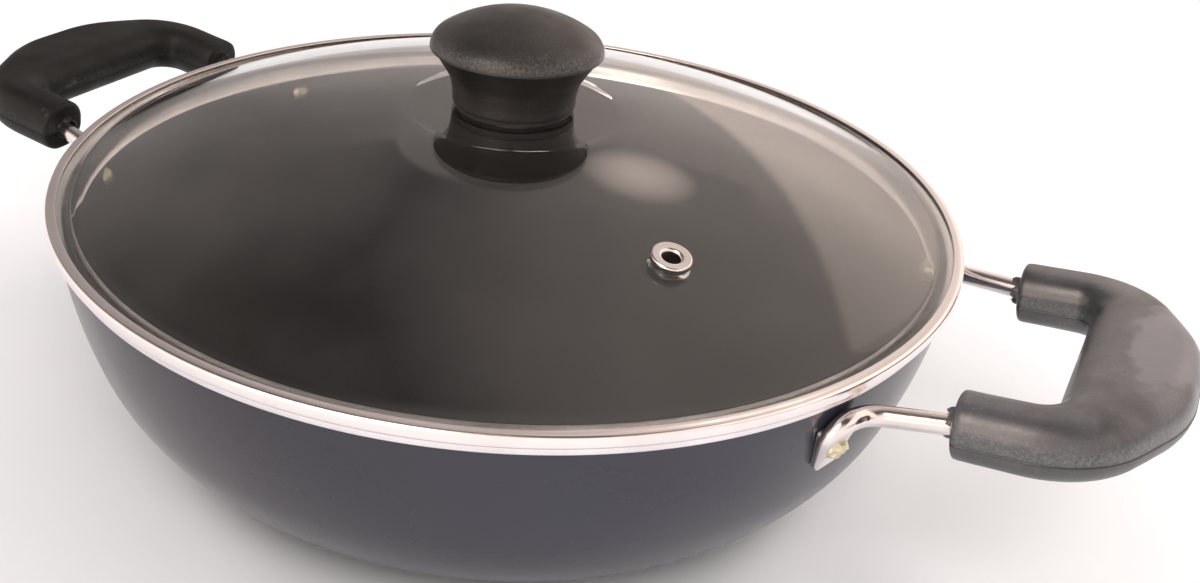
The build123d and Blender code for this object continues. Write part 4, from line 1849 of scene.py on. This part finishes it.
@dataclass
class Room:
    """A dome that only reflections see: a dark room, bright behind two slanting edges at the back right.

    The edges are planes through the middle, and what lies on their normal's side is bright. Sizes in metres.
    """

    plain_light: float
    radius: float = 1.3
    lowest: float = -1.5
    rows: int = 24
    columns: int = 96
    soft_edge: float = 0.012
    curtain: tuple[float, float, float] = (0.737, 0.369, -0.567)
    curtain_tone: float = 0.68
    pane: tuple[float, float, float] = (0.69, 0.329, -0.644)
    pane_tone: float = 0.66
    wall: tuple[float, float, float] = (-0.314, 0.49, -0.813)
    cool: Colour = (1.0, 0.9, 0.87)
    warm: Colour = (1.0, 0.83, 0.74)
    # azimuth and elevation of the middle, angles at which the patch starts and is full, and its tone
    patches: tuple[tuple[float, float, float, float, float], ...] = (
        (185.0, 9.0, 27.0, 9.0, 4.0),
        (-12.0, 38.5, 6.8, 0.5, 2.0),
        (-28.5, 36.0, 11.2, 10.4, 0.42),
        (-30.0, 71.0, 12.0, 3.0, 0.3),
        (20.0, 50.0, 43.0, 12.0, 0.75),
        (190.0, 48.0, 21.0, 5.0, 7.0),
        (-62.0, 24.0, 32.0, 12.0, 0.26),
    )
    graph: Graph = field(init=False)
    way: bpy.types.NodeSocket = field(init=False)

    def __post_init__(self) -> None:
        """Starts the material with each point's direction."""
        self.graph = Graph("room_seen_in_reflections")
        made = self.graph.node("ShaderNodeVectorMath", operation="NORMALIZE")
        self.graph.link(self.graph.place, made.inputs[0])
        self.way = made.outputs[0]

    @staticmethod
    def toward(azimuth: float, elevation: float) -> Vector:
        """Direction from azimuth, 0 at the back and 90 at the right, and elevation in degrees."""
        az, el = math.radians(azimuth), math.radians(elevation)
        return Vector((math.sin(az) * math.cos(el), math.cos(az) * math.cos(el), math.sin(el)))

    def facing(self, axis: Sequence[float], low: float, high: float, top: float) -> bpy.types.NodeSocket:
        """A tone that grows as the direction turns to an axis.

        Args:
            axis: the axis.
            low: cosine at which the tone starts.
            high: cosine at which it is full.
            top: the full tone.

        Returns:
            The tone's socket.
        """
        dot = self.graph.node("ShaderNodeVectorMath", operation="DOT_PRODUCT")
        self.graph.link(self.way, dot.inputs[0])
        dot.inputs[1].default_value = Vector(axis).normalized()
        return self.graph.span(dot.outputs["Value"], low, high, 0.0, top)

    def patch(
        self, azimuth: float, elevation: float, outer: float, inner: float, top: float
    ) -> bpy.types.NodeSocket:
        """A soft round patch.

        Args:
            azimuth: where its middle is, in degrees.
            elevation: how high its middle is, in degrees.
            outer: angle from the middle at which it starts.
            inner: angle at which it is full.
            top: its full tone.

        Returns:
            The tone's socket.
        """
        low, high = math.cos(math.radians(outer)), math.cos(math.radians(inner))
        return self.facing(self.toward(azimuth, elevation), low, high, top)

    def tone(self) -> bpy.types.NodeSocket:
        """The room's brightness in every direction.

        Returns:
            The brightness socket.
        """
        maths, up, edge = self.graph.maths, (0.0, 0.0, 1.0), self.soft_edge
        curtain = self.facing(self.curtain, -edge, edge, self.curtain_tone)
        curtain = maths("MINIMUM", curtain, self.facing(up, -0.3, 0.25, self.curtain_tone))
        pane = self.facing(self.pane, -edge, edge, self.pane_tone)
        pane = maths("MINIMUM", pane, self.facing(up, 0.1, 0.34, self.pane_tone))
        wall = self.facing(self.wall, -0.014, 0.014, 1.0)
        side = maths("ADD", self.facing(self.toward(20.0, 5.0), 0.2, 0.85, 0.55), 0.15)
        total = maths("ADD", maths("MAXIMUM", curtain, maths("MULTIPLY", wall, side)), pane)
        front = self.facing((-0.1, -0.81, -0.57), -0.15, 0.25, 1.35)
        total = maths("MAXIMUM", total, front, *(self.patch(*row) for row in self.patches))
        haze = self.graph.span(self.graph.noise(3.0, 3.0), 0.3, 0.7, 0.05, 0.2)
        return maths("ADD", total, haze)

    def build(self) -> None:
        """Builds the dome. Rays that no surface has mirrored see it plain."""
        graph = self.graph
        path = graph.node("ShaderNodeLightPath")
        mirrored = graph.span(path.outputs["Glossy Depth"], 0.0, 1.0, 0.0, 1.0)
        spread = graph.span(path.outputs["Diffuse Depth"], 0.0, 1.0, 1.0, self.plain_light)
        plain = graph.maths("MULTIPLY", graph.span(mirrored, 0.0, 1.0, 1.0, 0.0), spread)
        total = graph.maths("ADD", graph.maths("MULTIPLY", self.tone(), mirrored), plain)
        graph.material.cycles.emission_sampling = "NONE"
        glow = graph.node("ShaderNodeEmission")
        share = graph.span(total, 0.3, 1.2, 0.0, 1.0)
        graph.link(graph.blend(share, self.cool, self.warm), glow.inputs["Color"])
        graph.link(total, glow.inputs["Strength"])
        graph.link(glow.outputs[0], graph.output.inputs[0])
        shape = bmesh.new()
        rows = []
        for i in range(self.rows + 1):
            el = self.lowest + (90.0 - self.lowest) * i / self.rows
            turns = (360.0 * j / self.columns for j in range(self.columns))
            rows.append([shape.verts.new(self.toward(az, el) * self.radius) for az in turns])
        for first, second in zip(rows, rows[1:]):
            for j in range(self.columns):
                k = (j + 1) % self.columns
                shape.faces.new((first[j], first[k], second[k], second[j]))
        piece = finish_mesh("room", shape, (graph.material,))
        for key in ("visible_camera", "visible_diffuse", "visible_shadow"):
            setattr(piece, key, False)


@dataclass
class Studio:
    """Pale floor, soft lamps, the room in the reflections and the camera. Sizes in metres."""

    lens: float = 40.97
    eye: tuple[float, float, float] = (0.1616, -0.2999, 0.2257)
    azimuth: float = -28.32
    elevation: float = 24.56
    roll: float = 3.91
    room_light: float = 0.7
    room_tone: Colour = (1.0, 0.965, 0.97)
    floor_radius: float = 2.5
    aim: tuple[float, float, float] = (0.0, 0.0, 0.05)
    shift_x: float = 0.0763
    shift_y: float = -0.0963

    def camera(self) -> None:
        """Places the camera where the picture was taken from."""
        az, el, roll = (math.radians(value) for value in (self.azimuth, self.elevation, self.roll))
        forward = Vector((math.sin(az) * math.cos(el), math.cos(az) * math.cos(el), -math.sin(el)))
        right = Vector((math.cos(az), -math.sin(az), 0))
        up = right.cross(forward)
        cosine, sine = math.cos(roll), math.sin(roll)
        right, up = right * cosine + up * sine, up * cosine - right * sine
        data = bpy.data.cameras.new("camera")
        data.lens = self.lens
        data.sensor_width = 36.0
        data.sensor_fit = "HORIZONTAL"
        data.shift_x, data.shift_y = self.shift_x, self.shift_y
        data.clip_start, data.clip_end = 0.01, 20.0
        camera = bpy.data.objects.new("camera", data)
        matrix = Matrix((right, up, -forward)).transposed().to_4x4()
        matrix.translation = Vector(self.eye)
        camera.matrix_world = matrix
        bpy.context.scene.collection.objects.link(camera)
        bpy.context.scene.camera = camera

    def world(self) -> None:
        """White to the camera and in reflections, a soft neutral room for the light."""
        world = bpy.data.worlds.new("room")
        world.use_nodes = True
        tree = world.node_tree
        tree.nodes.clear()
        output = tree.nodes.new("ShaderNodeOutputWorld")
        seen = tree.nodes.new("ShaderNodeBackground")
        seen.inputs["Color"].default_value = (1, 1, 1, 1)
        seen.inputs["Strength"].default_value = 1.0
        room = tree.nodes.new("ShaderNodeBackground")
        room.inputs["Color"].default_value = (*self.room_tone, 1)
        room.inputs["Strength"].default_value = self.room_light
        path = tree.nodes.new("ShaderNodeLightPath")
        seen_by = path.outputs["Is Camera Ray"]
        for name in ("Is Glossy Ray", "Is Transmission Ray"):
            most = tree.nodes.new("ShaderNodeMath")
            most.operation = "MAXIMUM"
            tree.links.new(seen_by, most.inputs[0])
            tree.links.new(path.outputs[name], most.inputs[1])
            seen_by = most.outputs[0]
        mixer = tree.nodes.new("ShaderNodeMixShader")
        for i, source in enumerate((seen_by, room.outputs[0], seen.outputs[0])):
            tree.links.new(source, mixer.inputs[i])
        tree.links.new(mixer.outputs[0], output.inputs[0])
        bpy.context.scene.world = world

    def floor(self) -> None:
        """A pale floor that runs out to white and keeps the object's shadow."""
        graph = Graph("floor_pale")
        spread = graph.node("ShaderNodeVectorMath", operation="LENGTH")
        graph.link(graph.place, spread.inputs[0])
        fade = graph.span(spread.outputs["Value"], 0.3, 0.75, 0.0, 1.0)
        grain = graph.blend(graph.noise(40.0, 3.0), (0.9, 0.895, 0.895), (0.93, 0.925, 0.925))
        shader = graph.surface(base_color=grain, roughness=0.7)
        white = graph.node("ShaderNodeEmission")
        white.inputs["Color"].default_value = (1, 1, 1, 1)
        path = graph.node("ShaderNodeLightPath")
        seen = graph.maths("MULTIPLY", fade, path.outputs["Is Camera Ray"])
        graph.mix_out(seen, shader, white)
        shape = bmesh.new()
        bmesh.ops.create_circle(shape, cap_ends=True, segments=96, radius=self.floor_radius)
        piece = finish_mesh("floor", shape, (graph.material,))
        for vertex in piece.data.vertices:
            vertex.co.z = -0.0002
        if piece.data.polygons[0].normal.z < 0:
            piece.data.flip_normals()

    def lamp(
        self,
        name: str,
        place: Sequence[float],
        size: tuple[float, float],
        power: float,
        tone: Colour,
    ) -> None:
        """Adds a soft rectangular lamp that lights the object but isn't mirrored in it.

        Args:
            name: its name.
            place: its position.
            size: its width and height.
            power: its power in watts.
            tone: its colour.
        """
        data = bpy.data.lights.new(name, "AREA")
        data.shape = "RECTANGLE"
        data.size, data.size_y = size
        data.energy = power
        data.color = tone
        lamp = bpy.data.objects.new(name, data)
        lamp.location = place
        lamp.rotation_euler = (Vector(self.aim) - Vector(place)).to_track_quat("-Z", "Y").to_euler()
        lamp.visible_glossy = False
        lamp.visible_transmission = False
        bpy.context.scene.collection.objects.link(lamp)

    def build(self) -> None:
        """Builds the studio."""
        scene = bpy.context.scene
        scene.view_settings.view_transform = "Standard"
        self.world()
        self.floor()
        Room(self.room_light).build()
        for row in (
            ("window", (0.75, 1.0, 0.95), (0.7, 0.7), 12.0, (1, 0.93, 0.9)),
            ("key", (0.55, -0.9, 1.15), (0.7, 0.5), 7.0, (1, 0.97, 0.97)),
            ("fill", (-0.9, -0.35, 0.9), (0.6, 0.6), 4.0, (1, 0.95, 0.95)),
        ):
            self.lamp(*row)
        self.camera()


def main() -> None:
    """Builds every piece, the studio and the camera."""
    logging.basicConfig(level=logging.INFO, format="%(name)s: %(message)s")
    finishes = Finishes()
    bowl = Bowl()
    bowl.build(finishes)
    for side in Side:
        Handle(bowl, side).build(finishes)
    Rivets(bowl).build(finishes)
    Lid(bowl).build(finishes)
    Knob().build(finishes)
    Studio().build()


if __name__ == "__main__":
    main()
